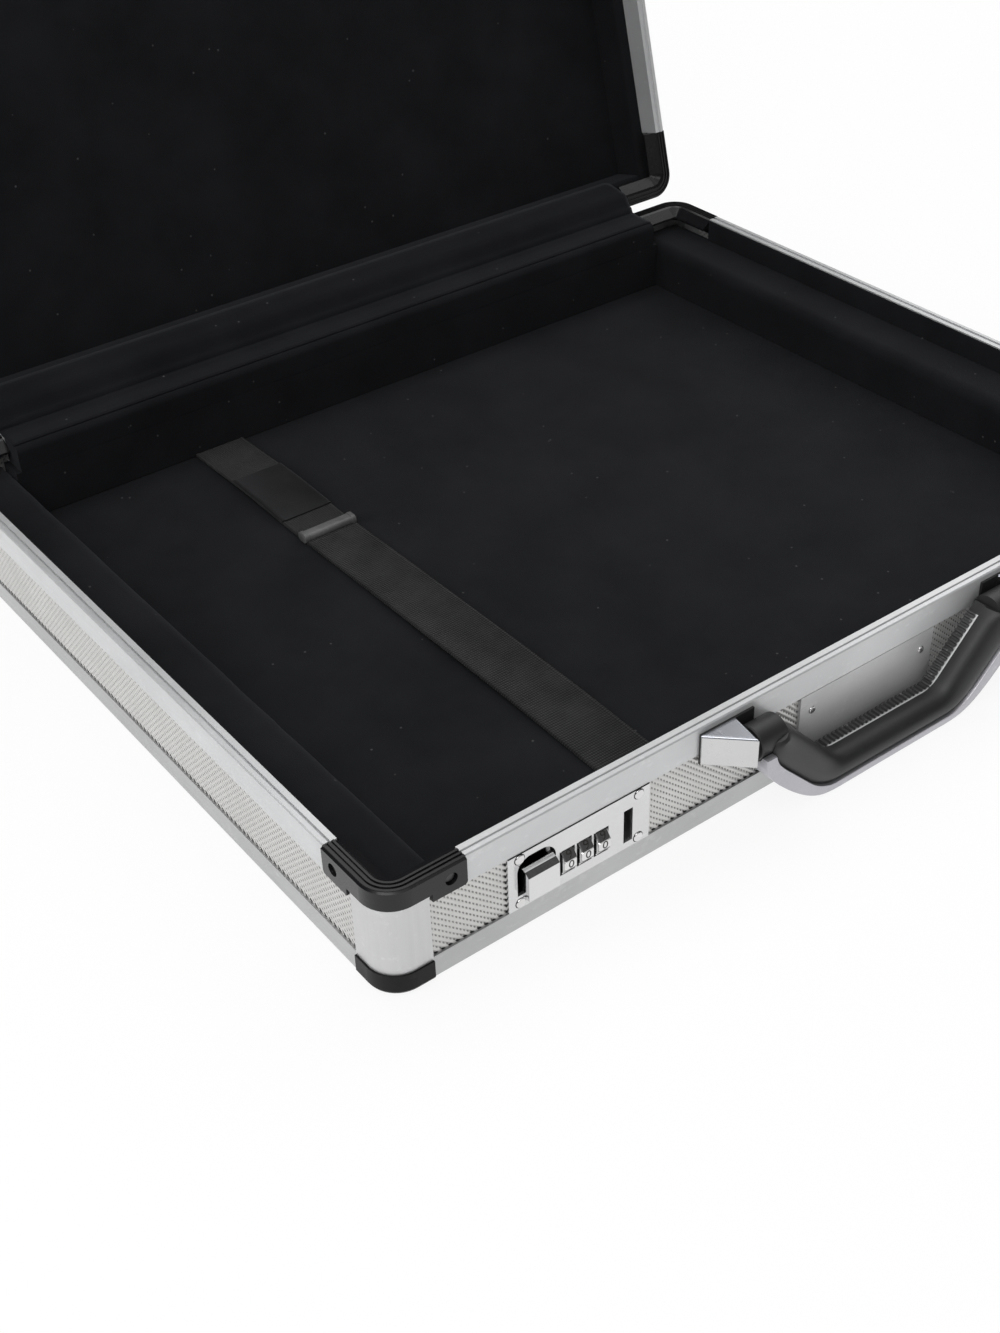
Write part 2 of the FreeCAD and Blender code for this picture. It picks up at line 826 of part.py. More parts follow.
def handle_grip():
    inner = frame_inner_half()
    outline = [(x, z) for x, z in inner[:-1]]
    outline += [(-frame_end_x + frame_thick, handle_pivot_z - boss_radius / 2)]
    outline += [(-arm_finger_x - boss_radius / 2, arm_finger_z + boss_radius / 3)]
    outline += list(reversed(finger_half()))
    outline += [(-x, z) for x, z in reversed(outline)]
    body = xz_prism(outline, (front - handle_front + seat_gap, front - handle_back))
    crest = [edge for edge in body.Edges
             if edge.BoundBox.YMax < front - handle_front + 2 * seat_gap
             and edge.BoundBox.ZMin > grip_finger_z - seat_gap
             and abs(edge.BoundBox.XMin) < arm_finger_x + seat_gap
             and abs(edge.BoundBox.XMax) < arm_finger_x + seat_gap]
    body = body.makeFillet(handle_round, crest)
    bosses = both_sides(rod(boss_radius, (boss_inner, bracket_inner - seat_gap), handle_y(),
                            handle_pivot_z))
    body = fused([body] + bosses)
    for side in both_sides(rod(pin_radius + pin_gap, (boss_inner - pin_gap, bracket_tip), handle_y(),
                               handle_pivot_z)):
        body = body.cut(side)
    for groove in rib_strip_blanks(0):
        body = body.cut(groove)
    return body.cut(handle_frame())


def rib_runs():
    # the three straight stretches of the finger side, as start, end
    corner = (grip_finger_half, grip_finger_z)
    top = (arm_finger_x, arm_finger_z)
    return [((-top[0], top[1]), (-corner[0], corner[1])), ((-corner[0], corner[1]), corner),
            (corner, top)]


def run_piece(run, along_span, depth_span, y_span):
    # a block along one run: along it from its start, depth below its surface
    (x0, z0), (x1, z1) = run
    length = math.hypot(x1 - x0, z1 - z0)
    angle = math.degrees(math.atan2(z1 - z0, x1 - x0))
    piece = block((along_span[0], length + along_span[1]), y_span, (-depth_span[1], -depth_span[0]))
    piece.rotate(Vec(0, 0, 0), Vec(0, 1, 0), -angle)
    return moved(piece, x0, 0, z0)


def rib_strip_blanks(proud):
    y_span = (front - handle_back - rib_strip_width, front - handle_back)
    return [run_piece(run, (rib_strip_thick, -rib_strip_thick), (-proud, rib_strip_thick), y_span)
            for run in rib_runs()]


def rib_strips():
    # a toothed strip set into the finger side of the grip, one length for each run
    strips = []
    for run, strip in zip(rib_runs(), rib_strip_blanks(rib_depth)):
        (x0, z0), (x1, z1) = run
        length = math.hypot(x1 - x0, z1 - z0)
        count = int((length - 2 * rib_strip_thick) / rib_pitch)
        lead = (length - count * rib_pitch) / 2
        gaps = []
        for index in range(count):
            start = lead + (index + rib_share / 2) * rib_pitch
            end = start + rib_share * rib_pitch - length
            gaps.append(run_piece(run, (start, end), (-rib_depth - cut_overrun, 0),
                                  (front - handle_back - rib_strip_width + rib_edge,
                                   front - handle_back + cut_overrun)))
        strips.append(strip.cut(group(gaps)))
    return group(strips)


# Name plate

def name_plate():
    plate = block((-name_half_width, name_half_width), (front - lock_proud, front + wall),
                  (lock_low, lock_high))
    for x in (-name_screw_x, name_screw_x):
        plate = plate.cut(stud(name_screw_radius + pin_gap, (front - lock_proud - cut_overrun,
                                                             front + wall + cut_overrun),
                               x, name_screw_z))
    return plate


def name_screws():
    screws = []
    for x in (-name_screw_x, name_screw_x):
        head = stud(name_screw_radius, (front - lock_proud - screw_proud, front + wall), x,
                    name_screw_z)
        rim = [edge for edge in head.Edges if edge.BoundBox.YMax < front - lock_proud]
        screws.append(head.makeFillet(screw_proud * screw_round_share, rim))
    return screws


# Hinges, drawn at X from their own middle

def hinge_segments():
    third = hinge_length / 3
    half = hinge_length / 2
    return [(-half, -half + third), (-half + third + hinge_gap, half - third - hinge_gap),
            (half - third, half)]


def hinge_half(own, other, direction):
    z_far = hinge_z - direction * hinge_drop
    z_near = hinge_z - direction * lid_gap
    leaf = block((-hinge_length / 2, hinge_length / 2), (back, back + hinge_leaf),
                 (min(z_far, z_near), max(z_far, z_near)))
    knuckles = [rod(hinge_knuckle, span, hinge_y, hinge_z) for span in own]
    arms = [block(span, (back, hinge_y), (min(z_near, hinge_z - direction * hinge_knuckle),
                                          max(z_near, hinge_z - direction * hinge_knuckle)))
            for span in own]
    body = fused([leaf] + knuckles + arms)
    for span in other:
        body = body.cut(rod(hinge_knuckle + hinge_gap, (span[0] - hinge_gap, span[1] + hinge_gap),
                            hinge_y, hinge_z))
    bore = rod(hinge_pin + pin_gap, (-hinge_length, hinge_length), hinge_y, hinge_z)
    return body.cut(bore)


def hinges():
    ends, middle = [hinge_segments()[0], hinge_segments()[2]], [hinge_segments()[1]]
    tray_leaf = hinge_half(ends, middle, 1)
    lid_leaf = opened(hinge_half(middle, ends, -1))
    pin = rod(hinge_pin, (-hinge_length / 2, hinge_length / 2), hinge_y, hinge_z)
    places = (-hinge_place, hinge_place)
    return [group([moved(shape, x, 0, 0) for x in places]) for shape in (tray_leaf, lid_leaf, pin)]


# Soft lining of the tray

def pad_section(face, top, rounding):
    arc = []
    for step in range(arc_steps + 1):
        angle = math.radians(quarter_turn * step / arc_steps)
        arc.append((face - rounding + rounding * math.cos(angle),
                    top - rounding + rounding * math.sin(angle)))
    start = inner_face + lining_gap
    return [(start, floor_pad_top), (face, floor_pad_top)] + arc + [(start, top)]


def upstand_section():
    start = rim_width + lining_gap
    top = tray_height - upstand_drop
    return [(start, ledge_height), (start + upstand, ledge_height), (start + upstand, top),
            (start, top)]


def wall_pad(side, face, top, end_gap):
    pad = bar(pad_section(face, top, pad_round), side_span(side, end_gap))
    strip = bar(upstand_section(), side_span(side, cap_reach + lining_gap))
    return to_side(pad.fuse(strip).removeSplitter(), side)


def back_pad():
    low = bar(pad_section(back_pad_face, ledge_height, lining_gap),
              side_span("back", side_pad_face + lining_gap))
    section = [(rim_width + lining_gap if u < rim_width else u, z)
               for u, z in pad_section(back_pad_face, tray_height, pad_round / 2)]
    high = bar(section, side_span("back", cap_reach + lining_gap))
    return to_side(low.fuse(high).removeSplitter(), "back")


def front_pad():
    pad = wall_pad("front", front_pad_face, ledge_height, side_pad_face + lining_gap)
    room = lining_gap + seat_gap
    for pocket in both_sides(lock_box((lock_case_inset - room, lock_length - lock_case_inset + room),
                                      (0, lock_case_depth + room),
                                      (lock_case_low - cut_overrun, lock_case_high + room))):
        pad = pad.cut(pocket)
    return pad


def front_panel():
    panel = to_side(side_panel("front", tray_height), "front")
    room = seat_gap / 2
    for window in both_sides(lock_box((lock_case_inset - room, lock_length - lock_case_inset + room),
                                      (wall - cut_overrun, inner_wall + cut_overrun),
                                      (lock_case_low - room, lock_case_high + room))):
        panel = panel.cut(window)
    return panel


def floor_pad():
    start = inner_face + lining_gap
    return block((left + start, right - start), (front + start, back - start),
                 (lip_top, floor_pad_top))


# Lining of the lid

def lid_board():
    start = inner_face + lining_gap
    return to_lid(block((left + start, right - start), (front + start, back - start),
                        (lip_top, lip_top + lid_pad_thick)))


def lid_wall_lining():
    low = lip_top + lid_pad_thick
    high = lid_height - rim_band
    start = inner_face + lining_gap
    section = [(start, low), (lid_wall_face, low), (lid_wall_face, high - pad_round / 2),
               (lid_wall_face - pad_round / 2, high), (start, high)]
    strips = []
    for side in side_turns:
        end_gap = start if side in ("left", "right") else lid_wall_face + lining_gap
        strips.append(to_lid(to_side(bar(section, side_span(side, end_gap)), side)))
    return group(strips)


def opened_point(depth, height):
    # a point of the open lid: depth from its back face, height above its rim
    angle = math.radians(-open_angle)
    y = -hinge_out - depth
    z = lid_gap / 2 + height
    return (hinge_y + y * math.cos(angle) - z * math.sin(angle),
            hinge_z + y * math.sin(angle) + z * math.cos(angle))


def thickened(line, thickness):
    # the closed outline of a sheet whose underside follows the line
    normals = []
    for (y0, z0), (y1, z1) in zip(line, line[1:]):
        length = math.hypot(y1 - y0, z1 - z0)
        normals.append(((z0 - z1) / length, (y1 - y0) / length))
    offsets = []
    for index, (y, z) in enumerate(line):
        pair = (normals[max(index - 1, 0)], normals[min(index, len(normals) - 1)])
        sum_y = pair[0][0] + pair[1][0]
        sum_z = pair[0][1] + pair[1][1]
        share = 2 / (sum_y ** 2 + sum_z ** 2)
        offsets.append((y + thickness * sum_y * share, z + thickness * sum_z * share))
    return line + list(reversed(offsets))


def hinge_cover():
    # one cloth from the back pad over the rims to the lid's wall, drawn with the lid open
    line = [(back - back_pad_face + pad_round / 2, tray_height + cover_lift)]
    for turn in cover_turns:
        angle = math.radians(turn)
        line.append((hinge_y + cover_radius * math.cos(angle), hinge_z + cover_radius * math.sin(angle)))
    line.append(opened_point(rim_width + cover_gap, -cover_gap))
    line.append(opened_point(lid_wall_face + cover_gap, rim_band))
    line.append(opened_point(lid_wall_face + cover_gap, rim_band + cover_lap))
    span = side_span("back", cap_reach + lining_gap)
    face = outline_face([Vec(span[0], y, z) for y, z in thickened(line, cover_thick)])
    return face.extrude(Vec(span[1] - span[0], 0, 0))


# Strap on the floor of the tray

def strap_span():
    return (strap_middle - strap_width / 2, strap_middle + strap_width / 2)


def strap_curve(y, y_from, y_to):
    share = (y - y_from) / (y_to - y_from)
    return strap_wave * math.sin(math.pi * share) ** 2


def ribbon(y_from, y_to):
    low, high = [], []
    for step in range(strap_steps + 1):
        y = y_from + (y_to - y_from) * step / strap_steps
        lift = floor_pad_top + lining_gap / 2 + strap_curve(y, y_from, y_to)
        low.append(Vec(strap_span()[0], y, lift))
        high.append(Vec(strap_span()[0], y, lift + strap_thick))
    edges = [Part.BSplineCurve(), Part.BSplineCurve()]
    for curve, points in zip(edges, (low, high)):
        curve.interpolate(points)
    wire = Part.Wire([edges[0].toShape(), Part.makeLine(low[-1], high[-1]),
                      edges[1].toShape(), Part.makeLine(high[0], low[0])])
    return Part.Face(wire).extrude(Vec(strap_width, 0, 0))


def strap_pieces():
    start = front + front_pad_face + lining_gap
    end = back - back_pad_face - lining_gap
    front_length = ribbon(start, strap_joint)
    back_length = ribbon(strap_joint + bar_length, end)
    low = floor_pad_top + lining_gap / 2
    outer = block((strap_span()[0] - bar_wire, strap_span()[1] + bar_wire),
                  (strap_joint + lining_gap, strap_joint + bar_length - lining_gap),
                  (low, low + bar_wire))
    hole = block(strap_span(), (strap_joint + bar_wire, strap_joint + bar_length - bar_wire),
                 (low - cut_overrun, low + bar_wire + cut_overrun))
    edges_round = bar_wire / 4
    buckle = outer.cut(hole)
    buckle = buckle.makeFillet(edges_round, [edge for edge in buckle.Edges
                                             if edge.BoundBox.ZMin > low + bar_wire - edges_round])
    patch_low = low + strap_thick + strap_wave
    patch = block(strap_span(), (strap_joint + bar_length + strap_ends,
                                 strap_joint + bar_length + strap_ends + patch_length),
                  (patch_low, patch_low + patch_thick))
    return front_length, back_length, buckle, patch


def build():
    nodes = {}
    tray = shell(tray_height, False)
    lid = shell(lid_height, True)
    for name, shape in tray.items():
        nodes["tray_" + name] = shape
    for name, shape in lid.items():
        nodes["lid_" + name] = to_lid(shape)
    nodes["tray_front_panel"] = front_panel()
    nodes["tray_back_panel"] = to_side(side_panel("back", tray_height), "back")
    nodes["tray_end_panels"] = group([to_side(side_panel(side, tray_height), side)
                                      for side in ("left", "right")])
    nodes["lid_side_panels"] = group([to_lid(to_side(side_panel(side, lid_height), side))
                                      for side in side_turns])
    nodes["floor_pad"] = floor_pad()
    nodes["front_wall_pad"] = front_pad()
    nodes["back_wall_pad"] = back_pad()
    nodes["side_wall_pads"] = group([wall_pad(side, side_pad_face, ledge_height,
                                              inner_face + lining_gap)
                                     for side in ("left", "right")])
    nodes["lid_lining_board"] = lid_board()
    nodes["lid_wall_lining"] = lid_wall_lining()
    nodes["hinge_cover"] = hinge_cover()
    strap_names = ("strap_front_length", "strap_back_length", "strap_bar_loop", "strap_patch")
    for name, shape in zip(strap_names, strap_pieces()):
        nodes[name] = shape
    for side, mirror in (("left", False), ("right", True)):
        pieces = {"lock_plate_": lock_plate(), "lock_case_": lock_case(),
                  "thumb_slider_": thumb_slider(), "hasp_": hasp()}
        for name, shape in pieces.items():
            nodes[name + side] = mirrored_x(shape) if mirror else shape
        for index in range(dial_count):
            shape = lock_dial(index)
            nodes["dial_%s_%d" % (side, index + 1)] = mirrored_x(shape) if mirror else shape
    screws = lock_screws()
    nodes["plate_screws"] = group(screws + [mirrored_x(screw) for screw in screws] + name_screws())
    nodes["lock_axles"] = group(both_sides(lock_axle()))
    nodes["hasp_brackets"] = group(both_sides(hasp_bracket()))
    nodes["hasp_pins"] = group(both_sides(hasp_pin()))
    for side, mirror in (("left", True), ("right", False)):
        bracket = handle_bracket()
        nodes["handle_bracket_" + side] = mirrored_x(bracket) if mirror else bracket
    nodes["handle_base_plates"] = group(both_sides(handle_base_plate()))
    nodes["handle_pins"] = group(both_sides(handle_pin()))
    nodes["handle_frame"] = handle_frame()
    nodes["handle_grip"] = handle_grip()
    nodes["handle_rib_strips"] = rib_strips()
    nodes["name_plate"] = name_plate()
    for name, shape in zip(("hinge_tray_leaves", "hinge_lid_leaves", "hinge_pins"), hinges()):
        nodes[name] = shape
    return nodes


def main():
    os.makedirs("parts", exist_ok=True)
    nodes = build()
    for name, shape in nodes.items():
        shape.exportStep("parts/" + name + ".step")
        print(name, len(shape.Solids), "valid" if shape.isValid() else "not valid",
              round(shape.Volume), "mm3")
    print(len(nodes), "nodes")


main()
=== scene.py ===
import bpy
import bmesh
from math import cos, dist, exp, hypot, pi, radians, sin, tan, tau
from mathutils import Matrix, Vector, noise


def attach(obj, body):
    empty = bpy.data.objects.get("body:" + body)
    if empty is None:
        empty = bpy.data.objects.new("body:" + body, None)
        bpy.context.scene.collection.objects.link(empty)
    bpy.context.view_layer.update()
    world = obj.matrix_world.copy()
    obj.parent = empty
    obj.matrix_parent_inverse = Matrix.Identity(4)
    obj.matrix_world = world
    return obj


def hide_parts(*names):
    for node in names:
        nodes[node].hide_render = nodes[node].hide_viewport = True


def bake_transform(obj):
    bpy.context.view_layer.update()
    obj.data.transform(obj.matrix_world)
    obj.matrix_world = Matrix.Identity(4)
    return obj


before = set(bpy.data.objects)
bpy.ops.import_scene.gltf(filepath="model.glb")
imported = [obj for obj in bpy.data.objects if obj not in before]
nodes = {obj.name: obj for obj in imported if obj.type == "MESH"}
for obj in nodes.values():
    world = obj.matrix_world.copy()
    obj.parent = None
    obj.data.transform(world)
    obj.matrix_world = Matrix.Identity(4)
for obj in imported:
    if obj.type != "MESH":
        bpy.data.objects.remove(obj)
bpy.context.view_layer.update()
mm = 0.001

sizes = {  # millimetres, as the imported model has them
    "width": 468.0, "depth": 375.0, "trayHeight": 50.0, "lidHeight": 42.0, "lidGap": 0.3,
    "openAngle": 105.0, "hingeOut": 3.2, "rimBand": 12.7, "edgeTop": 10.8, "panelFace": 1.2,
    "panelBack": 4.2, "panelFloor": 1.8, "rimLap": 3.7,
}
halfWidth, halfDepth = sizes["width"] / 2, sizes["depth"] / 2
front = -halfDepth


def sideMatrix(side):
    turn, x, y = {"front": (0, 0, front), "back": (180, 0, halfDepth), "left": (-90, -halfWidth, 0),
                  "right": (90, halfWidth, 0)}[side]
    return Matrix.Translation((x, y, 0)) @ Matrix.Rotation(radians(turn), 4, "Z")


def halfLength(side):
    return halfWidth if side in ("front", "back") else halfDepth


hingeAxis = Vector((0, halfDepth + sizes["hingeOut"], sizes["trayHeight"] + sizes["lidGap"] / 2))
openTurn = Matrix.Rotation(-radians(sizes["openAngle"]), 4, "X")
opened = Matrix.Translation(hingeAxis) @ openTurn @ Matrix.Translation(-hingeAxis)
closedTop = sizes["trayHeight"] + sizes["lidGap"] + sizes["lidHeight"]
turnedOver = Matrix.Translation((0, 0, closedTop)) @ Matrix.Diagonal((1, 1, -1, 1))
lidMatrix = opened @ turnedOver  # from shell sizes, outer panel down, to the open lid


def newObject(name, data):
    made = bpy.data.objects.new(name, data)
    bpy.context.scene.collection.objects.link(made)
    return made


def newMesh(name, bm, material=None):  # bm is in millimetres
    bm.transform(Matrix.Scale(mm, 4))
    bmesh.ops.recalc_face_normals(bm, faces=bm.faces)
    mesh = bpy.data.meshes.new(name)
    bm.to_mesh(mesh)
    bm.free()
    if material:
        mesh.materials.append(material)
    return mesh


def newPiece(name, bm, body, material, replaced=None, matrix=Matrix()):
    bm.transform(matrix)
    piece = newObject(name, newMesh(name, bm, material))
    if body:
        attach(piece, body)
    if replaced:
        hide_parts(replaced)
    return piece


def smoothByAngle(piece, degrees):
    piece.data.shade_smooth()
    piece.data.set_sharp_from_angle(angle=radians(degrees))


def addLoop(bm, points):
    return [bm.verts.new(p) for p in points]


def bridge(bm, first, second):
    count = len(first)
    for i in range(count):
        j = (i + 1) % count
        bm.faces.new((first[i], first[j], second[j], second[i]))


def loft(loops, bm=None):
    bm = bm or bmesh.new()
    rows = [addLoop(bm, loop) for loop in loops]
    for first, second in zip(rows, rows[1:]):
        bridge(bm, first, second)
    bm.faces.new(rows[0])
    bm.faces.new(list(reversed(rows[-1])))
    return bm


def fillGrid(bm, grid):
    for first, second in zip(grid, grid[1:]):
        for j in range(len(first) - 1):
            bm.faces.new((first[j], second[j], second[j + 1], first[j + 1]))


def gridBorder(grid):
    last, end = len(grid) - 1, len(grid[0]) - 1
    return ([grid[i][0] for i in range(last)] + [grid[last][j] for j in range(end)]
            + [grid[i][end] for i in range(last, 0, -1)] + [grid[0][j] for j in range(end, 0, -1)])


def evaluatedMesh(item):
    bpy.context.view_layer.update()
    return bpy.data.meshes.new_from_object(item.evaluated_get(bpy.context.evaluated_depsgraph_get()))


def addBox(bm, low, high):
    for vert in bmesh.ops.create_cube(bm, size=1.0)["verts"]:
        vert.co = [low[i] + (vert.co[i] + 0.5) * (high[i] - low[i]) for i in range(3)]


def joinMesh(piece, mesh, operation):
    # cuts or joins with an exact boolean, and keeps the result as the piece's mesh
    tool = newObject("joinTool", mesh)
    change = piece.modifiers.new("join", "BOOLEAN")
    change.object = tool
    change.operation = operation
    change.solver = "EXACT"
    done = evaluatedMesh(piece)
    piece.modifiers.clear()
    piece.data = done
    bpy.data.objects.remove(tool)


def addNode(tree, kind):
    return tree.nodes.new("ShaderNode" + kind)


def feed(tree, value, socket):
    # an output is linked to the socket, and a plain value is set on it
    if isinstance(value, bpy.types.NodeSocket):
        tree.links.new(value, socket)
    else:
        socket.default_value = value


def makeGroup(name, inputs, outputs):
    group = bpy.data.node_groups.new(name, "ShaderNodeTree")
    for label, value in inputs.items():
        kind = "NodeSocketVector" if isinstance(value, tuple) else "NodeSocketFloat"
        group.interface.new_socket(name=label, in_out="INPUT", socket_type=kind).default_value = value
    for label in outputs:
        group.interface.new_socket(name=label, in_out="OUTPUT", socket_type="NodeSocketFloat")
    place = addNode(group, "TexCoord").outputs["Object"]
    return group, place, group.nodes.new("NodeGroupInput").outputs, group.nodes.new("NodeGroupOutput").inputs


def mathNode(tree, operation, *values):
    node = addNode(tree, "Math")
    node.operation = operation
    for value, socket in zip(values, node.inputs):
        feed(tree, value, socket)
    return node.outputs[0]


def times(tree, first, second):
    return mathNode(tree, "MULTIPLY", first, second)


def noiseNode(tree, vector, scale, detail, roughness):
    node = addNode(tree, "TexNoise")
    node.inputs["Detail"].default_value = detail
    node.inputs["Roughness"].default_value = roughness
    feed(tree, vector, node.inputs["Vector"])
    feed(tree, scale, node.inputs["Scale"])
    return node.outputs["Fac"]


def stretched(tree, vector, factors):
    node = addNode(tree, "VectorMath")
    node.operation = "MULTIPLY"
    feed(tree, vector, node.inputs[0])
    feed(tree, factors, node.inputs[1])
    return node.outputs[0]


def splitNode(tree, vector):
    node = addNode(tree, "SeparateXYZ")
    feed(tree, vector, node.inputs[0])
    return node.outputs


def makeBrushGroup():
    # drawn-metal grain: fine lines along X, Y or Z, with broad patches of dulling
    group, place, enter, leave = makeGroup(
        "drawnGrain", {"Along": (1.0, 1.0, 1.0), "Fineness": 900.0, "Patches": 18.0},
        ["Lines", "Dulling", "Specks"])
    lines = noiseNode(group, stretched(group, place, enter["Along"]), enter["Fineness"], 3.0, 0.6)
    feed(group, lines, leave["Lines"])
    feed(group, noiseNode(group, place, enter["Patches"], 4.0, 0.62), leave["Dulling"])
    feed(group, noiseNode(group, place, 2600.0, 1.0, 0.5), leave["Specks"])
    return group


def makeWearGroup():
    # small scratches and rubbed spots, as a mask
    group, place, enter, leave = makeGroup("fineScratches", {"Amount": 0.5, "Size": 60.0}, ["Mask"])
    crooked = noiseNode(group, stretched(group, place, (1.0, 6.0, 2.5)), enter["Size"], 6.0, 0.7)
    other = noiseNode(group, stretched(group, place, (5.0, 1.2, 7.0)), enter["Size"], 5.0, 0.66)
    raised = mathNode(group, "SUBTRACT", times(group, crooked, other), 0.31)
    sharp = times(group, raised, 14.0)
    kept = mathNode(group, "MINIMUM", mathNode(group, "MAXIMUM", sharp, 0.0), 1.0)
    feed(group, times(group, kept, enter["Amount"]), leave["Mask"])
    return group


def makeNapGroup():
    # short velvet nap: soft mottling, fibre bump and sparse lint
    group, place, enter, leave = makeGroup("velvetNap", {"Lint": 0.5, "Mottle": 22.0},
                                           ["Mottling", "Fibres", "LintMask"])
    feed(group, noiseNode(group, place, enter["Mottle"], 5.0, 0.6), leave["Mottling"])
    feed(group, noiseNode(group, place, 1900.0, 2.0, 0.7), leave["Fibres"])
    lint = addNode(group, "TexVoronoi")
    lint.inputs["Scale"].default_value = 85.0
    lint.inputs["Randomness"].default_value = 1.0
    feed(group, place, lint.inputs["Vector"])
    near = mathNode(group, "LESS_THAN", lint.outputs["Distance"], 0.045)
    feed(group, times(group, near, enter["Lint"]), leave["LintMask"])
    return group


drawnGrain = makeBrushGroup()
fineScratches = makeWearGroup()
velvetNap = makeNapGroup()
print("shader groups are ready")


def newMaterial(name):
    material = bpy.data.materials.new(name)
    material.use_nodes = True
    tree = material.node_tree
    tree.nodes.clear()
    shader = addNode(tree, "BsdfPrincipled")
    out = addNode(tree, "OutputMaterial")
    feed(tree, shader.outputs[0], out.inputs["Surface"])
    return material, tree, shader


def placeGroup(tree, group, **values):
    node = addNode(tree, "Group")
    node.node_tree = group
    for label, value in values.items():
        node.inputs[label].default_value = value
    return node.outputs


def rampColour(tree, factor, stops):
    ramp = addNode(tree, "ValToRGB")
    ramp.color_ramp.elements[0].position = stops[0][0]
    ramp.color_ramp.elements[0].color = (*stops[0][1], 1)
    ramp.color_ramp.elements[1].position = stops[-1][0]
    ramp.color_ramp.elements[1].color = (*stops[-1][1], 1)
    for position, colour in stops[1:-1]:
        ramp.color_ramp.elements.new(position).color = (*colour, 1)
    feed(tree, factor, ramp.inputs["Fac"])
    return ramp.outputs["Color"]


def rangeNode(tree, factor, low, high, fromLow=0.3, fromHigh=0.7):
    node = addNode(tree, "MapRange")
    node.inputs["From Min"].default_value = fromLow
    node.inputs["From Max"].default_value = fromHigh
    node.inputs["To Min"].default_value = low
    node.inputs["To Max"].default_value = high
    feed(tree, factor, node.inputs["Value"])
    return node.outputs[0]


def bumpNode(tree, shader, height, strength, distance):
    bump = addNode(tree, "Bump")
    bump.inputs["Strength"].default_value = strength
    bump.inputs["Distance"].default_value = distance
    feed(tree, height, bump.inputs["Height"])
    feed(tree, bump.outputs["Normal"], shader.inputs["Normal"])


def mixColour(tree, factor, first, second):
    mix = addNode(tree, "Mix")
    mix.data_type = "RGBA"  # the colours are inputs 6 and 7 and output 2
    for socket, value in ((mix.inputs[6], first), (mix.inputs[7], second)):
        feed(tree, (*value, 1) if isinstance(value, tuple) else value, socket)
    feed(tree, factor, mix.inputs[0])
    return mix.outputs[2]


def dulledColour(tree, grain, dark, light):
    return rampColour(tree, grain["Dulling"], [(0.3, dark), (0.7, light)])


def wornFinish(tree, shader, colour, scratch, rubbed, source, rough, size=60.0):
    # scratches in the rubbed shade over a colour, and roughness that follows a part of the grain
    wear = placeGroup(tree, fineScratches, Amount=scratch, Size=size)
    feed(tree, mixColour(tree, wear["Mask"], colour, rubbed), shader.inputs["Base Color"])
    feed(tree, rangeNode(tree, source, *rough), shader.inputs["Roughness"])


def metal(name, dark, light, rough, along, bump=0.08, metallic=0.9, scratch=0.5):
    material, tree, shader = newMaterial(name)
    grain = placeGroup(tree, drawnGrain, Along=along)
    rubbed = tuple(min(1.0, c * 1.12) for c in light)
    wornFinish(tree, shader, dulledColour(tree, grain, dark, light), scratch, rubbed, grain["Lines"], rough)
    shader.inputs["Metallic"].default_value = metallic
    bumpNode(tree, shader, grain["Lines"], bump, 0.0002)
    return material


def plastic(name, dark, light, rough, bump=0.15, scratch=0.5, coat=0.0, specular=0.5):
    material, tree, shader = newMaterial(name)
    grain = placeGroup(tree, drawnGrain, Fineness=1400.0, Patches=26.0)
    rubbed = tuple(c * 1.5 + 0.004 for c in light)
    wornFinish(tree, shader, dulledColour(tree, grain, dark, light), scratch, rubbed, grain["Dulling"], rough,
               80.0)
    shader.inputs["Specular IOR Level"].default_value = specular
    shader.inputs["Coat Weight"].default_value = coat
    shader.inputs["Coat Roughness"].default_value = 0.12
    bumpNode(tree, shader, grain["Specks"], bump, 0.00015)
    return material


def zonedMetal(name, first, second, rough, axis, edge, metallic=1.0):
    # one colour up to a place along an axis, in millimetres, and another beyond it; on the slider and
    # brackets the second colour is painted shade and painted reflection
    material, tree, shader = newMaterial(name)
    grain = placeGroup(tree, drawnGrain, Along=(1.0, 0.06, 0.5))
    place = splitNode(tree, addNode(tree, "TexCoord").outputs["Object"])
    zone = rangeNode(tree, place[axis], 0.0, 1.0, edge[0] * mm, edge[1] * mm)
    shades = [dulledColour(tree, grain, shade, tuple(min(1.0, c * 1.1 + 0.004) for c in shade))
              for shade in (first, second)]
    wornFinish(tree, shader, mixColour(tree, zone, *shades), 0.3, first, grain["Lines"], rough)
    shader.inputs["Metallic"].default_value = metallic
    bumpNode(tree, shader, grain["Lines"], 0.03, 0.0002)
    return material


def lining(name, dark, light, lint, sheen):
    material, tree, shader = newMaterial(name)
    nap = placeGroup(tree, velvetNap, Lint=lint)
    colour = rampColour(tree, nap["Mottling"], [(0.32, dark), (0.68, light)])
    dusty = mixColour(tree, nap["LintMask"], colour, (0.09, 0.09, 0.092))
    feed(tree, dusty, shader.inputs["Base Color"])
    shader.inputs["Roughness"].default_value = 0.95
    shader.inputs["Specular IOR Level"].default_value = 0.15
    shader.inputs["Sheen Weight"].default_value = sheen
    shader.inputs["Sheen Roughness"].default_value = 0.45
    shader.inputs["Sheen Tint"].default_value = (0.35, 0.36, 0.4, 1)
    bumpNode(tree, shader, nap["Fibres"], 0.35, 0.0004)
    return material


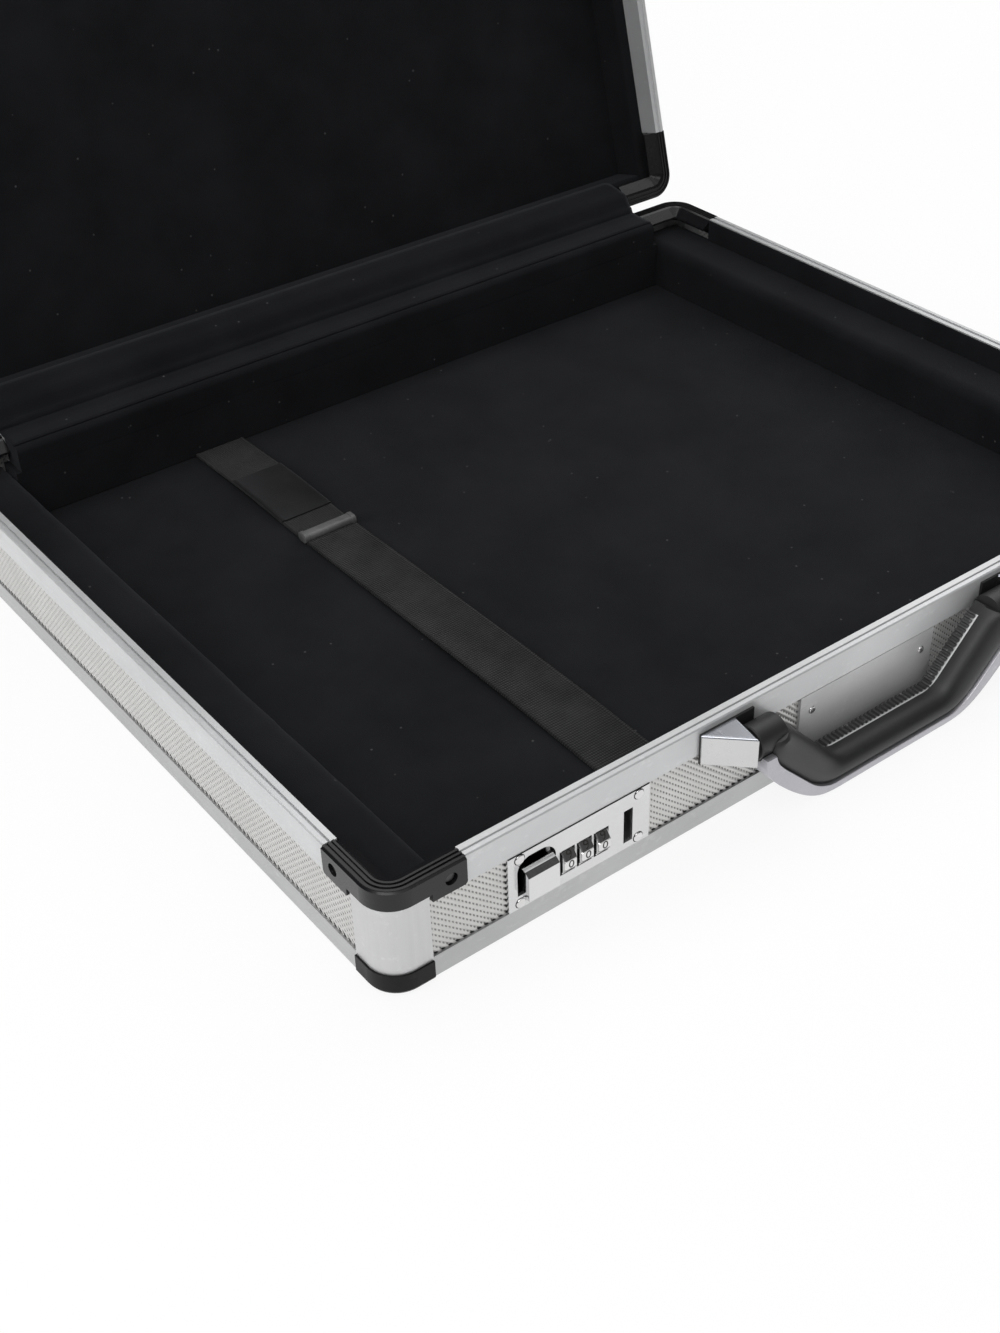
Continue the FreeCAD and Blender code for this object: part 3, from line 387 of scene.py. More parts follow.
def webbing(name, dark, light, ribs):
    # cross ribs with fine lengthwise threads, read from the webbing's own UV in millimetres
    material, tree, shader = newMaterial(name)
    place = splitNode(tree, addNode(tree, "UVMap").outputs[0])
    ribWave = mathNode(tree, "SINE", times(tree, place["Y"], tau * ribs))
    threadWave = mathNode(tree, "SINE", times(tree, place["X"], tau * 0.9))
    weave = mathNode(tree, "ADD", times(tree, ribWave, 0.6), times(tree, threadWave, 0.4))
    nap = placeGroup(tree, velvetNap, Lint=0.3, Mottle=60.0)
    shade = mathNode(tree, "ADD", times(tree, weave, 0.22), nap["Mottling"])
    colour = rampColour(tree, shade, [(0.25, dark), (0.8, light)])
    feed(tree, colour, shader.inputs["Base Color"])
    shader.inputs["Roughness"].default_value = 0.8
    shader.inputs["Sheen Weight"].default_value = 0.06
    shader.inputs["Specular IOR Level"].default_value = 0.2
    bumpNode(tree, shader, weave, 0.7, 0.00025)
    return material


def dimpleMask(tree, halfAcross, halfAlong):
    # one dimple in the middle of each square of the UV, 1 inside and 0 outside
    place = splitNode(tree, addNode(tree, "UVMap").outputs[0])
    spot = addNode(tree, "CombineXYZ")
    for index, half in ((0, halfAcross), (1, halfAlong)):
        middle = mathNode(tree, "SUBTRACT", mathNode(tree, "FRACT", place[index]), 0.5)
        feed(tree, mathNode(tree, "DIVIDE", middle, half), spot.inputs[index])
    reach = addNode(tree, "VectorMath")
    reach.operation = "LENGTH"
    feed(tree, spot.outputs[0], reach.inputs[0])
    return rangeNode(tree, reach.outputs["Value"], 1.0, 0.0, 0.7, 1.25)


def twill(name, dark, light, dimpleShade):
    # silver-faced sheet: the ribs are modelled, the dimples between them come from the UV and are painted
    # dark as shade
    material, tree, shader = newMaterial(name)
    mask = dimpleMask(tree, 0.17, 0.3)
    grain = placeGroup(tree, drawnGrain, Fineness=700.0, Patches=30.0)
    uneven = times(tree, mask, rangeNode(tree, grain["Dulling"], 0.55, 1.0))
    dimplesShaded = mixColour(tree, uneven, dulledColour(tree, grain, dark, light), dimpleShade)
    wornFinish(tree, shader, dimplesShaded, 0.3, light, grain["Specks"], (0.36, 0.5))
    shader.inputs["Metallic"].default_value = 0.75
    bumpNode(tree, shader, mathNode(tree, "SUBTRACT", 1.0, mask), 0.5, 0.0002)
    return material


def grey(shade, blue=0.0):
    return (shade, shade, shade + blue)


alongX, alongZ, everyWay = (0.03, 1.0, 1.0), (1.0, 1.0, 0.03), (1.0, 1.0, 1.0)  # small where the grain runs
alongBars = (0.03, 0.03, 1.0)
rimMetal = metal("anodisedRim", (0.56, 0.565, 0.57), (0.63, 0.635, 0.64), (0.3, 0.42), alongBars,
                 metallic=0.45)
edgeMetal = metal("anodisedEdge", (0.45, 0.453, 0.455), (0.52, 0.523, 0.525), (0.34, 0.46), alongBars)
postMetal = metal("anodisedPost", grey(0.61, 0.002), grey(0.66, 0.002), (0.4, 0.5), alongZ)
platePolish = metal("polishedPlate", grey(0.64, 0.005), grey(0.71, 0.005), (0.14, 0.2), (0.05, 1.0, 1.0),
                    bump=0.01, scratch=0.2)
chromePiece = metal("chromePiece", (0.64, 0.63, 0.63), grey(0.76), (0.06, 0.12), everyWay, bump=0.01,
                    metallic=1.0, scratch=0.3)
# painted shade: the slider is near black behind the case's front face, for the shade inside its slot
thumbChromeShaded = zonedMetal("thumbChromeShaded", grey(0.66, 0.005), grey(0.012), (0.07, 0.13), "Y",
                         (front - 0.05, front + 0.05))
# painted reflection: above 46.2 mm the brackets' tops are darker and bluish, as a reflection of the dark room
bracketMetalReflected = zonedMetal("bracketMetalReflected", grey(0.60), (0.36, 0.37, 0.40), (0.2, 0.28), "Z", (46.2, 46.6))
frameMetal = metal("frameMetal", (0.46, 0.455, 0.485), (0.52, 0.515, 0.545), (0.34, 0.46), (1.0, 0.06, 0.5),
                   bump=0.04)
nameMetal = metal("nameMetal", grey(0.46, 0.005), grey(0.54, 0.005), (0.3, 0.4), alongX, bump=0.06,
                  metallic=0.55)
innerSteel = metal("innerSteel", grey(0.34), grey(0.46), (0.3, 0.5), everyWay)
# painted shade: the rivets are near black for the shade in their recesses
rivetSteelShaded = metal("rivetSteelShaded", grey(0.05), grey(0.10), (0.25, 0.4), everyWay)
toothedSteel = zonedMetal("toothedSteel", grey(0.70), grey(0.07), (0.3, 0.4), "Y", (front - 7.9, front - 6.9),
                          metallic=0.5)
basePanel = metal("basePanel", (0.55, 0.55, 0.54), (0.64, 0.64, 0.63), (0.4, 0.52), (1.0, 0.1, 1.0))
# painted shade: the third colour darkens the dimples between the ribs
twillPanel = twill("twillPanel", (0.60, 0.595, 0.58), (0.70, 0.695, 0.68), (0.085, 0.083, 0.08))
# painted shade: near-black plastic for the dark strips that stand for shadows at the panel joints and above
# the lock plates
gapShadeBlack = plastic("gapShadeBlack", grey(0.006), grey(0.014), (0.5, 0.7), specular=0.2)
cornerBlack = plastic("cornerBlack", grey(0.006, 0.001), grey(0.011, 0.001), (0.18, 0.28), bump=0.08,
                      scratch=0.4, coat=0.08, specular=0.3)
cornerGrey = plastic("cornerGrey", grey(0.009), grey(0.015), (0.34, 0.48), specular=0.12)
handleBlack = plastic("handleBlack", grey(0.012, 0.0005), grey(0.019, 0.001), (0.4, 0.5), bump=0.1,
                      scratch=0.4)
digitInk = plastic("digitInk", (0.010, 0.009, 0.008), (0.02, 0.018, 0.016), (0.4, 0.5))
barPlastic = plastic("barPlastic", grey(0.045, 0.001), grey(0.12, 0.001), (0.36, 0.5), bump=0.5)
liningCloth = lining("liningCloth", (0.0045, 0.0048, 0.0056), (0.0088, 0.0092, 0.0105), 0.5, 0.12)
coverCloth = lining("coverCloth", (0.0045, 0.0048, 0.0058), (0.009, 0.0094, 0.011), 0.7, 0.16)
hookCloth = lining("hookCloth", grey(0.005), grey(0.014), 0.9, 0.25)
ribbedWebbing = webbing("ribbedWebbing", grey(0.005, 0.0005), grey(0.021, 0.001), 0.75)
smoothWebbing = webbing("smoothWebbing", grey(0.005, 0.0005), grey(0.016, 0.001), 1.6)
print("materials are ready")

nodeMaterials = {
    rimMetal: "tray_rim_profiles lid_rim_profiles",
    edgeMetal: "tray_edge_profiles lid_edge_profiles",
    postMetal: "tray_corner_posts lid_corner_posts",
    basePanel: "tray_panel lid_panel",
    cornerBlack: "tray_rim_corners lid_rim_corners",
    cornerGrey: "tray_outer_corners lid_outer_corners",
    platePolish: "lock_plate_left lock_plate_right hasp_left hasp_right",
    chromePiece: "plate_screws hasp_brackets dial_left_1 dial_left_2 dial_left_3 dial_right_1 "
                 "dial_right_2 dial_right_3",
    thumbChromeShaded: "thumb_slider_left thumb_slider_right",
    rivetSteelShaded: "tray_corner_rivets lid_corner_rivets",
    toothedSteel: "handle_rib_strips",
    bracketMetalReflected: "handle_bracket_left handle_bracket_right",
    frameMetal: "handle_frame",
    nameMetal: "name_plate",
    innerSteel: "lock_case_left lock_case_right lock_axles hasp_pins handle_pins hinge_tray_leaves "
                "hinge_lid_leaves hinge_pins",
    handleBlack: "handle_grip handle_base_plates",
    liningCloth: "floor_pad front_wall_pad back_wall_pad side_wall_pads lid_lining_board "
                 "lid_wall_lining",
    coverCloth: "hinge_cover",
    ribbedWebbing: "strap_front_length strap_back_length strap_patch",
    twillPanel: "tray_front_panel tray_back_panel tray_end_panels lid_side_panels",
}
for material, names in nodeMaterials.items():
    for name in names.split():
        mesh = nodes[name].data
        mesh.materials.clear()
        mesh.materials.append(material)


ribSheet = {"pitch": 2.12, "angle": 42.1, "height": 0.32, "dimpleStep": 1.5, "steps": 8}
gapShade = {"out": 0.16, "rise": 0.7, "hidden": 1.5, "deep": 0.3}  # painted shade: dark line for the shadow where the sheet enters a profile
frontRuns = {"endGap": 14.2, "lockOuter": 181.0, "lockInner": 115.8, "nameHalf": 37.4, "gapLap": 0.3}


def embossedPanel(name, span, top, matrix, body, replaced):
    s, low, rear = ribSheet, sizes["panelFloor"], sizes["panelBack"]
    slope = 1 / tan(radians(s["angle"]))
    stride = s["pitch"] / sin(radians(s["angle"]))
    lean = (top - low) * slope
    start = span[0] - lean - 2 * stride
    bm = bmesh.new()
    rows = []
    for index in range((int((span[1] + stride - start) / stride) + 1) * s["steps"]):
        share = index / s["steps"]
        x = start + share * stride
        y = sizes["panelFace"] - s["height"] * (0.5 + 0.5 * cos(tau * share))
        rows.append(addLoop(bm, [(x, y, top), (x + lean, y, low), (x + lean, rear, low), (x, rear, top)]))
    for first, second in zip(rows, rows[1:]):
        bridge(bm, first, second)
    bm.faces.new(rows[0])
    bm.faces.new(rows[-1])
    for x, normal in ((span[0], (-1, 0, 0)), (span[1], (1, 0, 0))):
        geometry = bm.verts[:] + bm.edges[:] + bm.faces[:]
        cut = bmesh.ops.bisect_plane(bm, geom=geometry, plane_co=(x, 0, 0), plane_no=normal,
                                     clear_outer=True, dist=1e-5)
        edges = [e for e in cut["geom_cut"] if isinstance(e, bmesh.types.BMEdge)]
        bmesh.ops.edgeloop_fill(bm, edges=edges)
    layer = bm.loops.layers.uv.new("sheet")
    for panelFace in bm.faces:
        for loop in panelFace.loops:
            x, y, z = loop.vert.co
            loop[layer].uv = ((x - start - (top - z) * slope) / stride, x / s["dimpleStep"])
    smoothByAngle(newPiece(name, bm, body, twillPanel, replaced, matrix), 40)


def makeGapLines(name, half, matrix, body, uprights=()):
    # painted shade: a dark strip for the shadow where the sheet enters the profile; it only shows between the
    # ribs, so its edge is toothed as on the case
    g = gapShade
    bm = bmesh.new()
    nearFace, farFace = sizes["panelFace"] - g["out"], sizes["panelFace"] + g["deep"]
    edge = sizes["edgeTop"]
    addBox(bm, (-half, nearFace, edge - g["hidden"]), (half, farFace, edge + g["rise"]))
    for x, way in uprights:
        x0, x1 = sorted((x - way * g["rise"], x + way * g["deep"]))
        addBox(bm, (x0, nearFace, edge), (x1, farFace, sizes["trayHeight"] - sizes["rimBand"]))
    piece = newPiece(name, bm, body, gapShadeBlack, matrix=matrix)


def makePanels():
    r = frontRuns
    lap = sizes["rimLap"] - sizes["rimBand"]
    trayTop, lidTop = sizes["trayHeight"] + lap, sizes["lidHeight"] + lap
    ends, matrix = halfWidth - r["endGap"], sideMatrix("front")
    spans = [(-ends, -r["lockOuter"]), (-r["lockInner"], -r["nameHalf"]), (r["nameHalf"], r["lockInner"]),
             (r["lockOuter"], ends)]
    for index, span in enumerate(spans):
        node = None if index else "tray_front_panel"
        embossedPanel("frontRibs%d" % (index + 1), span, trayTop, matrix, "tray", node)
    upright = r["lockOuter"] + r["gapLap"]
    makeGapLines("frontGapShade", ends, matrix, "tray", [(-upright, 1), (upright, -1)])
    runs = [("back", "back", trayTop, sideMatrix("back"), "tray", "tray_back_panel")]
    runs += [(side, side, trayTop, sideMatrix(side), "tray", "tray_end_panels") for side in ("left", "right")]
    runs += [(side, "lid" + side.capitalize(), lidTop, lidMatrix @ sideMatrix(side), "lid", "lid_side_panels")
             for side in ("front", "back", "left", "right")]
    for side, name, top, matrix, body, node in runs:
        half = halfLength(side) - r["endGap"]
        embossedPanel(name + "Ribs", (-half, half), top, matrix, body, node)
        makeGapLines(name + "GapShade", half, matrix, body)


plateShade = {"from": 52.9, "to": 118.3, "top": 37.28, "height": 0.45, "out": 0.24, "deep": 0.6}


def makePlateGaps():
    # painted shade: a dark strip over the top edge of each lock plate, for the shadow in the gap under the
    # rim profile
    g = plateShade
    for side, sign in (("left", 1), ("right", -1)):
        x0, x1 = sorted(sign * (g[end] - halfWidth) for end in ("from", "to"))
        bm = bmesh.new()
        addBox(bm, (x0, front - g["out"], g["top"] - g["height"]), (x1, front + g["deep"], g["top"]))
        piece = newPiece("plateShade" + side.capitalize(), bm, "tray", gapShadeBlack)


makePanels()
makePlateGaps()
print("embossed panels are ready")


def softNoise(x, y, z, size, seed=0.0):
    return noise.noise(Vector((x / size + seed, y / size - seed, z / size + 2 * seed)))


boardPad = {"low": 5.5, "inset": 5.6}
floorPad = {"top": 11.8, "steps": 90, "wave": 0.35, "waveSize": 38.0, "edgeDrop": 1.0, "edgeReach": 6.0}
lidPad = {"top": 8.5, "steps": 70, "wave": 0.7, "waveSize": 60.0, "cornerGap": 12.2, "face": 12.0,
          "low": 8.55, "round": 3.0, "wallWave": 0.3}
wallPad = {"start": 5.6, "arcSteps": 7, "stepSize": 5.0, "wave": 0.35, "waveSize": 30.0, "fineSize": 11.0,
           "low": 11.9, "ledge": 37.3, "lift": 0.05, "round": 6.0, "sideFace": 32.7, "frontFace": 19.0,
           "backFace": 20.0, "backRound": 0.3, "topStart": 6.3, "topRound": 3.5, "endGap": 32.9,
           "topGap": 35.5}
upstand = {"start": 6.2, "foot": 7.1, "face": 7.05, "crown": 6.8, "edge": 48.6, "top": 49.1, "wave": 0.1}
lockPocket = {"from": 117.2, "to": 179.8, "front": -190.0, "back": -172.9, "low": 11.0, "high": 36.2}


def paddedBoard(name, steps, heightAt, body, replaced, matrix=Matrix()):
    # a flat lining over foam; heightAt gives its top for a place and the distance to the nearest edge
    halfX, halfY = halfWidth - boardPad["inset"], halfDepth - boardPad["inset"]
    bm = bmesh.new()
    grid = []
    for i in range(steps + 1):
        x = -halfX + 2 * halfX * i / steps
        rows = [-halfY + 2 * halfY * j / steps for j in range(steps + 1)]
        grid.append(addLoop(bm, [(x, y, heightAt(x, y, min(halfX - abs(x), halfY - abs(y)))) for y in rows]))
    fillGrid(bm, grid)
    border = gridBorder(grid)
    under = addLoop(bm, [(v.co.x, v.co.y, boardPad["low"]) for v in border])
    bridge(bm, border, under)
    bm.faces.new(under)
    piece = newPiece(name, bm, body, liningCloth, replaced, matrix)
    smoothByAngle(piece, 60)


def floorPadTop(x, y, edge):
    f = floorPad
    soft = f["wave"] * (0.5 + 0.5 * softNoise(x, y, 0, f["waveSize"]))
    return f["top"] - f["edgeDrop"] * exp(-edge / f["edgeReach"]) - soft


def lidPadTop(x, y, edge):
    return lidPad["top"] - lidPad["wave"] * (softNoise(x, y, 4, lidPad["waveSize"], 31.0) * 0.5 + 0.5)


def wallSection(face, rounding, low=wallPad["low"], top=wallPad["ledge"], start=wallPad["start"]):
    points = [(start, low), (face, low)]
    u, z = face - rounding, top - rounding
    for step in range(wallPad["arcSteps"] + 1):
        angle = radians(90 * step / wallPad["arcSteps"])
        points.append((u + rounding * cos(angle), z + rounding * sin(angle)))
    return points + [(start + (u - start) * 0.5, top), (start, top)]


def sweepPad(name, section, half, matrix, body, replaced, wave, seed):
    w = wallPad
    count = max(8, int(2 * half / w["stepSize"]))
    rows = []
    for index in range(count + 1):
        x = -half + 2 * half * index / count
        loop = []
        for u, z in section:
            soft = softNoise(x, u * 3, z * 3, w["waveSize"], seed)
            soft += 0.5 * softNoise(x, u, z, w["fineSize"], seed + 3)
            fixed = u < section[0][0] + 0.01 or z < section[0][1] + 0.01
            inward = 0 if fixed else -abs(soft) * wave * 0.6
            loop.append((x, u + inward, z + inward))
        rows.append(loop)
    bm = loft(rows)
    piece = newPiece(name, bm, body, liningCloth, replaced, matrix)
    smoothByAngle(piece, 50)
    return piece


def cutLockPockets(piece):
    p = lockPocket
    for sign in (-1, 1):
        x0, x1 = sorted((sign * p["from"], sign * p["to"]))
        bm = bmesh.new()
        addBox(bm, (x0, p["front"], p["low"]), (x1, p["back"], p["high"]))
        joinMesh(piece, newMesh("pocketTool", bm), "DIFFERENCE")


def makeTrayPads():
    w, u = wallPad, upstand
    above = w["ledge"] + w["lift"]
    deep, wide, wideTop = halfDepth - w["start"], halfWidth - w["endGap"], halfWidth - w["topGap"]
    sideWall, frontWall = wallSection(w["sideFace"], w["round"]), wallSection(w["frontFace"], w["round"])
    backWall = wallSection(w["backFace"], w["backRound"])
    backTop = wallSection(w["backFace"], w["topRound"], above, sizes["trayHeight"], w["topStart"])
    for name, side, section, half, node, seed in (
            ("leftLining", "left", sideWall, deep, "side_wall_pads", 1.0),
            ("rightLining", "right", sideWall, deep, "side_wall_pads", 7.0),
            ("frontLining", "front", frontWall, wide, "front_wall_pad", 12.0),
            ("backLining", "back", backWall, wide, "back_wall_pad", 17.0),
            ("backLiningTop", "back", backTop, wideTop, None, 21.0)):
        piece = sweepPad(name, section, half, sideMatrix(side), "tray", node, w["wave"], seed)
        if side == "front":
            cutLockPockets(piece)
    # thin lined upstands inside the rims
    section = [(u["start"], above), (u["foot"], above), (u["face"], u["edge"]), (u["crown"], u["top"]),
               (u["start"], u["top"])]
    for side in ("left", "right", "front"):
        half = halfLength(side) - w["topGap"]
        piece = sweepPad(side + "Upstand", section, half, sideMatrix(side), "tray", None, u["wave"], 25.0)


def makeLidPads():
    p = lidPad
    section = wallSection(p["face"], p["round"], p["low"], sizes["lidHeight"] - sizes["rimBand"])
    for side in ("front", "back", "left", "right"):
        half = halfLength(side) - (wallPad["start"] if side in ("left", "right") else p["cornerGap"])
        piece = sweepPad("lid" + side.capitalize() + "Lining", section, half, lidMatrix @ sideMatrix(side),
                         "lid", "lid_wall_lining", p["wallWave"], 40.0)


paddedBoard("floorLining", floorPad["steps"], floorPadTop, "tray", "floor_pad")
makeTrayPads()
paddedBoard("lidLining", lidPad["steps"], lidPadTop, "lid", "lid_lining_board", lidMatrix)
makeLidPads()
print("linings are ready")


hingeCloth = {"thick": 0.5, "lift": 0.15, "radius": 4.0, "gap": 0.4, "lap": 6.0, "padFace": 20.0,
              "padRound": 3.0, "rimWidth": 6.0, "liningFace": 12.0, "columns": 160, "rowsPerRun": 4,
              "endGap": 35.4, "turns": (170, 140, 110), "ripple": 0.5, "noiseSize": 9.0, "calm": 0.25,
              "cornerCrease": 1.1, "cornerReach": 22.0}


def lidPoint(depth, height):
    angle = radians(-sizes["openAngle"])
    y, z = -sizes["hingeOut"] - depth, sizes["lidGap"] / 2 + height
    return (hingeAxis.y + y * cos(angle) - z * sin(angle),
            hingeAxis.z + y * sin(angle) + z * cos(angle))


def clothPath():
    # Y and Z of the cloth from the tray's back pad over the hinge to the lid's lining
    c = hingeCloth
    height = sizes["trayHeight"] + c["lift"]
    line = [(halfDepth - c["padFace"] + c["padRound"], height), (halfDepth - c["rimWidth"], height)]
    for turn in c["turns"]:
        angle, radius = radians(turn), c["radius"]
        line.append((hingeAxis.y + radius * cos(angle), hingeAxis.z + radius * sin(angle)))
    inside, rim = c["liningFace"] + c["gap"], sizes["rimBand"]
    line += [lidPoint(c["rimWidth"] + c["gap"], -c["gap"]), lidPoint(inside, rim),
             lidPoint(inside, rim + c["lap"])]
    path = []
    for (y0, z0), (y1, z1) in zip(line, line[1:]):
        for step in range(c["rowsPerRun"]):
            share = step / c["rowsPerRun"]
            path.append((y0 + (y1 - y0) * share, z0 + (z1 - z0) * share))
    return path + [line[-1]]


def clothGrid(bm, path, half, offset):
    # rows along X, pushed out from the path by the offset and the ripples
    c = hingeCloth
    grid = []
    for i in range(c["columns"] + 1):
        x = -half + 2 * half * i / c["columns"]
        corner = exp(-(half - abs(x)) / c["cornerReach"])
        row = []
        for index, (y, z) in enumerate(path):
            before, after = path[max(index - 1, 0)], path[min(index + 1, len(path) - 1)]
            dy, dz = after[0] - before[0], after[1] - before[1]
            loose = sin(pi * index / (len(path) - 1)) ** 1.5
            crease = max(0.0, softNoise(x * 1.6, index * 3.0, 0, c["noiseSize"], 3.0))
            ripple = crease * (c["calm"] + c["cornerCrease"] * corner) * c["ripple"] * loose
            push = (offset + ripple) / hypot(dy, dz)
            row.append((x, y - dz * push, z + dy * push))
        grid.append(addLoop(bm, row))
    fillGrid(bm, grid)
    return grid


def makeHingeCloth():
    path = clothPath()
    half = halfWidth - hingeCloth["endGap"]
    bm = bmesh.new()
    under = clothGrid(bm, path, half, 0.0)
    over = clothGrid(bm, path, half, hingeCloth["thick"])
    bridge(bm, gridBorder(under), gridBorder(over))
    piece = newPiece("hingeCloth", bm, None, coverCloth, "hinge_cover")
    piece.data.shade_smooth()
    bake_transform(piece)


makeHingeCloth()
print("hinge cloth is ready")


strap = {"middle": -94.5, "width": 27.5, "thick": 1.4, "joint": 65.0, "barLength": 1.0, "floor": 11.9,
         "wave": 1.6, "frontStart": -168.3, "backEnd": 167.3, "step": 1.5, "patchFrom": 83.5,
         "patchLength": 46.0, "patchThick": 0.9, "patchSink": 0.05, "selvage": 1.6, "ease": 0.25,
         "lip": 0.35, "dip": 0.22, "sway": 0.25, "swayLength": 23.0}
strapBar = {"from": 62.4, "to": 68.6, "low": 12.2, "high": 16.2, "length": 29.0, "round": 1.7, "collar": 0.35,
            "collarWidth": 2.2, "cornerSteps": 5}


def makeRibbon(name, yFrom, yTo, lowAt, thick, material, node):
    s = strap
    half, inner = s["width"] / 2, s["width"] / 2 - s["selvage"]
    right = [(half - s["ease"], 0), (half, s["ease"]), (half, thick - s["lip"]), (half - s["lip"], thick),
             (inner, thick), (inner - s["lip"], thick - s["dip"])]
    section = right + [(-x, z) for x, z in reversed(right)]
    count = max(6, int((yTo - yFrom) / s["step"]))
    loops = []
    for index in range(count + 1):
        y = yFrom + (yTo - yFrom) * index / count
        middle = s["middle"] + s["sway"] * sin(y / s["swayLength"])
        loops.append([(middle + x, y, lowAt(y) + z) for x, z in section])
    bm = loft(loops)
    layer = bm.loops.layers.uv.new("webbing")
    for face in bm.faces:
        for loop in face.loops:
            loop[layer].uv = (loop.vert.co.x, loop.vert.co.y)
    piece = newPiece(name, bm, "tray", material, node)
    smoothByAngle(piece, 50)


def makeStrap():
    s = strap
    start, patchEnd = s["joint"] + s["barLength"], s["patchFrom"] + s["patchLength"]

    def lying(yFrom, yTo, lift=0.0):
        # the underside of a length that rests on the floor pad at both ends
        return lambda y: s["floor"] + s["wave"] * sin(pi * (y - yFrom) / (yTo - yFrom)) ** 2 + lift

    makeRibbon("strapFront", s["frontStart"], s["joint"], lying(s["frontStart"], s["joint"]), s["thick"],
               ribbedWebbing, "strap_front_length")
    makeRibbon("strapBack", start, s["backEnd"], lying(start, s["backEnd"]), s["thick"], smoothWebbing,
               "strap_back_length")
    overBack = lying(start, s["backEnd"], s["thick"] - s["patchSink"])
    makeRibbon("strapPatch", s["patchFrom"], patchEnd, overBack, s["patchThick"], hookCloth, "strap_patch")


def makeStrapBar():
    # the rounded bar that joins the strap's two lengths, with a collar at each end
    b = strapBar
    end, rounding, collar = -b["length"] / 2, b["round"], b["collar"]
    places = [(end, -collar), (end + collar, collar), (end + b["collarWidth"], collar),
              (end + b["collarWidth"] + collar, 0)]
    places += [(-x, grow) for x, grow in reversed(places)]
    centres = [(b["to"] - rounding, b["high"] - rounding), (b["from"] + rounding, b["high"] - rounding),
               (b["from"] + rounding, b["low"] + rounding), (b["to"] - rounding, b["low"] + rounding)]
    loops = []
    for x, grow in places:
        loop = []
        for quarter, (y, z) in enumerate(centres):
            for step in range(b["cornerSteps"] + 1):
                angle = radians(90 * (quarter + step / b["cornerSteps"]))
                loop.append((strap["middle"] + x, y + (rounding + grow) * cos(angle),
                             z + (rounding + grow) * sin(angle)))
        loops.append(loop)
    bm = loft(loops)
    piece = newPiece("strapBar", bm, "tray", barPlastic, "strap_bar_loop")
    smoothByAngle(piece, 40)


makeStrap()
makeStrapBar()
print("strap is ready")


handleShape = {  # X and Z of the handle at rest, its left half; crest: share of the section's width
    "finger": [(-58.0, 42.3), (-54.9, 39.7), (-30.7, 13.69)], "fingerRound": [3.0, 13.0, 13.0, 3.0],
    "gripTop": [(-67.2, 40.4)],
    "inner": [(-68.3, 36.0), (-66.6, 31.6), (-63.2, 27.3), (-58.8, 22.8), (-52.9, 16.8), (-47.0, 10.9),
              (-43.2, 7.9), (-39.0, 5.7), (-34.7, 4.4), (-27.0, 4.2), (-18.0, 4.2), (0.0, 4.2)],
    "outer": [(-73.2, 36.0), (-72.9, 32.0), (-71.2, 27.8), (-67.6, 22.6), (-60.6, 15.4), (-54.0, 9.6),
              (-47.5, 5.0), (-41.0, 2.1), (-34.0, 1.0), (-26.0, 0.9), (-17.0, 0.9), (0.0, 0.9)],
    "bendSteps": 8, "curveSteps": 4, "sections": 110,
    "gripFront": 18.0, "frameFront": 18.3, "back": 2.6, "frameEase": 0.5,
    "crest": 0.62, "fingerDrop": 8.0, "outerDrop": 2.6, "domeSteps": 8, "endEase": 1.0,
}
gripBoss = {"radius": 7.3, "inner": 60.0, "outer": 73.5, "out": 8.5, "height": 39.0, "ease": 0.5, "gap": 0.3,
            "steps": 48}
stripShape = {"width": 5.8, "deep": 1.2, "tooth": 0.8, "edge": 0.7, "pitch": 2.3, "share": 0.5, "margin": 0.3,
              "toothEase": 0.08, "seat": 0.02, "inlay": 0.05}


def roundedLine(points, radii, steps):
    line = [points[0]]
    for before, middle, after, radius in zip(points, points[1:], points[2:], radii):
        corner = Vector(middle)
        back, ahead = Vector(before) - corner, Vector(after) - corner
        cut = min(radius * tan((pi - back.angle(ahead)) / 2), back.length * 0.48, ahead.length * 0.48)
        first, last = corner + back.normalized() * cut, corner + ahead.normalized() * cut
        for step in range(steps + 1):
            t = step / steps
            line.append(tuple(first * (1 - t) ** 2 + corner * 2 * t * (1 - t) + last * t ** 2))
    return line + [points[-1]]


def curvedLine(points, steps):
    # a smooth line through all the points
    done = []
    for i in range(len(points) - 1):
        a, b, c, d = (Vector(points[k]) for k in (max(i - 1, 0), i, i + 1, min(i + 2, len(points) - 1)))
        for step in range(steps):
            t = step / steps
            done.append(tuple(0.5 * (2 * b + (c - a) * t + (2 * a - 5 * b + 4 * c - d) * t ** 2
                                     + (3 * b - a - 3 * c + d) * t ** 3)))
    return done + [points[-1]]


def bothHalves(half):
    # the left half ends at X = 0, and the right half is its mirror image
    return half + [(-x, z) for x, z in reversed(half if half[-1][0] < 0 else half[:-1])]


def evenPoints(line, count):
    lengths = [0.0]
    for a, b in zip(line, line[1:]):
        lengths.append(lengths[-1] + dist(a, b))
    done = []
    at = 0
    for step in range(count + 1):
        want = lengths[-1] * step / count
        while at < len(line) - 2 and lengths[at + 1] < want:
            at += 1
        t = (want - lengths[at]) / (lengths[at + 1] - lengths[at])
        (x0, z0), (x1, z1) = line[at], line[at + 1]
        done.append((x0 + (x1 - x0) * t, z0 + (z1 - z0) * t))
    return done


def sweepBetween(first, second, section, count):
    # cross sections from one line to another, each given as distances from the first line and places in Y
    loops = []
    for step, (a, b) in enumerate(zip(evenPoints(first, count), evenPoints(second, count))):
        width = dist(a, b)
        loops.append([(a[0] + (b[0] - a[0]) * across / width, y, a[1] + (b[1] - a[1]) * across / width)
                      for across, y in section(width, step)])
    return loft(loops)


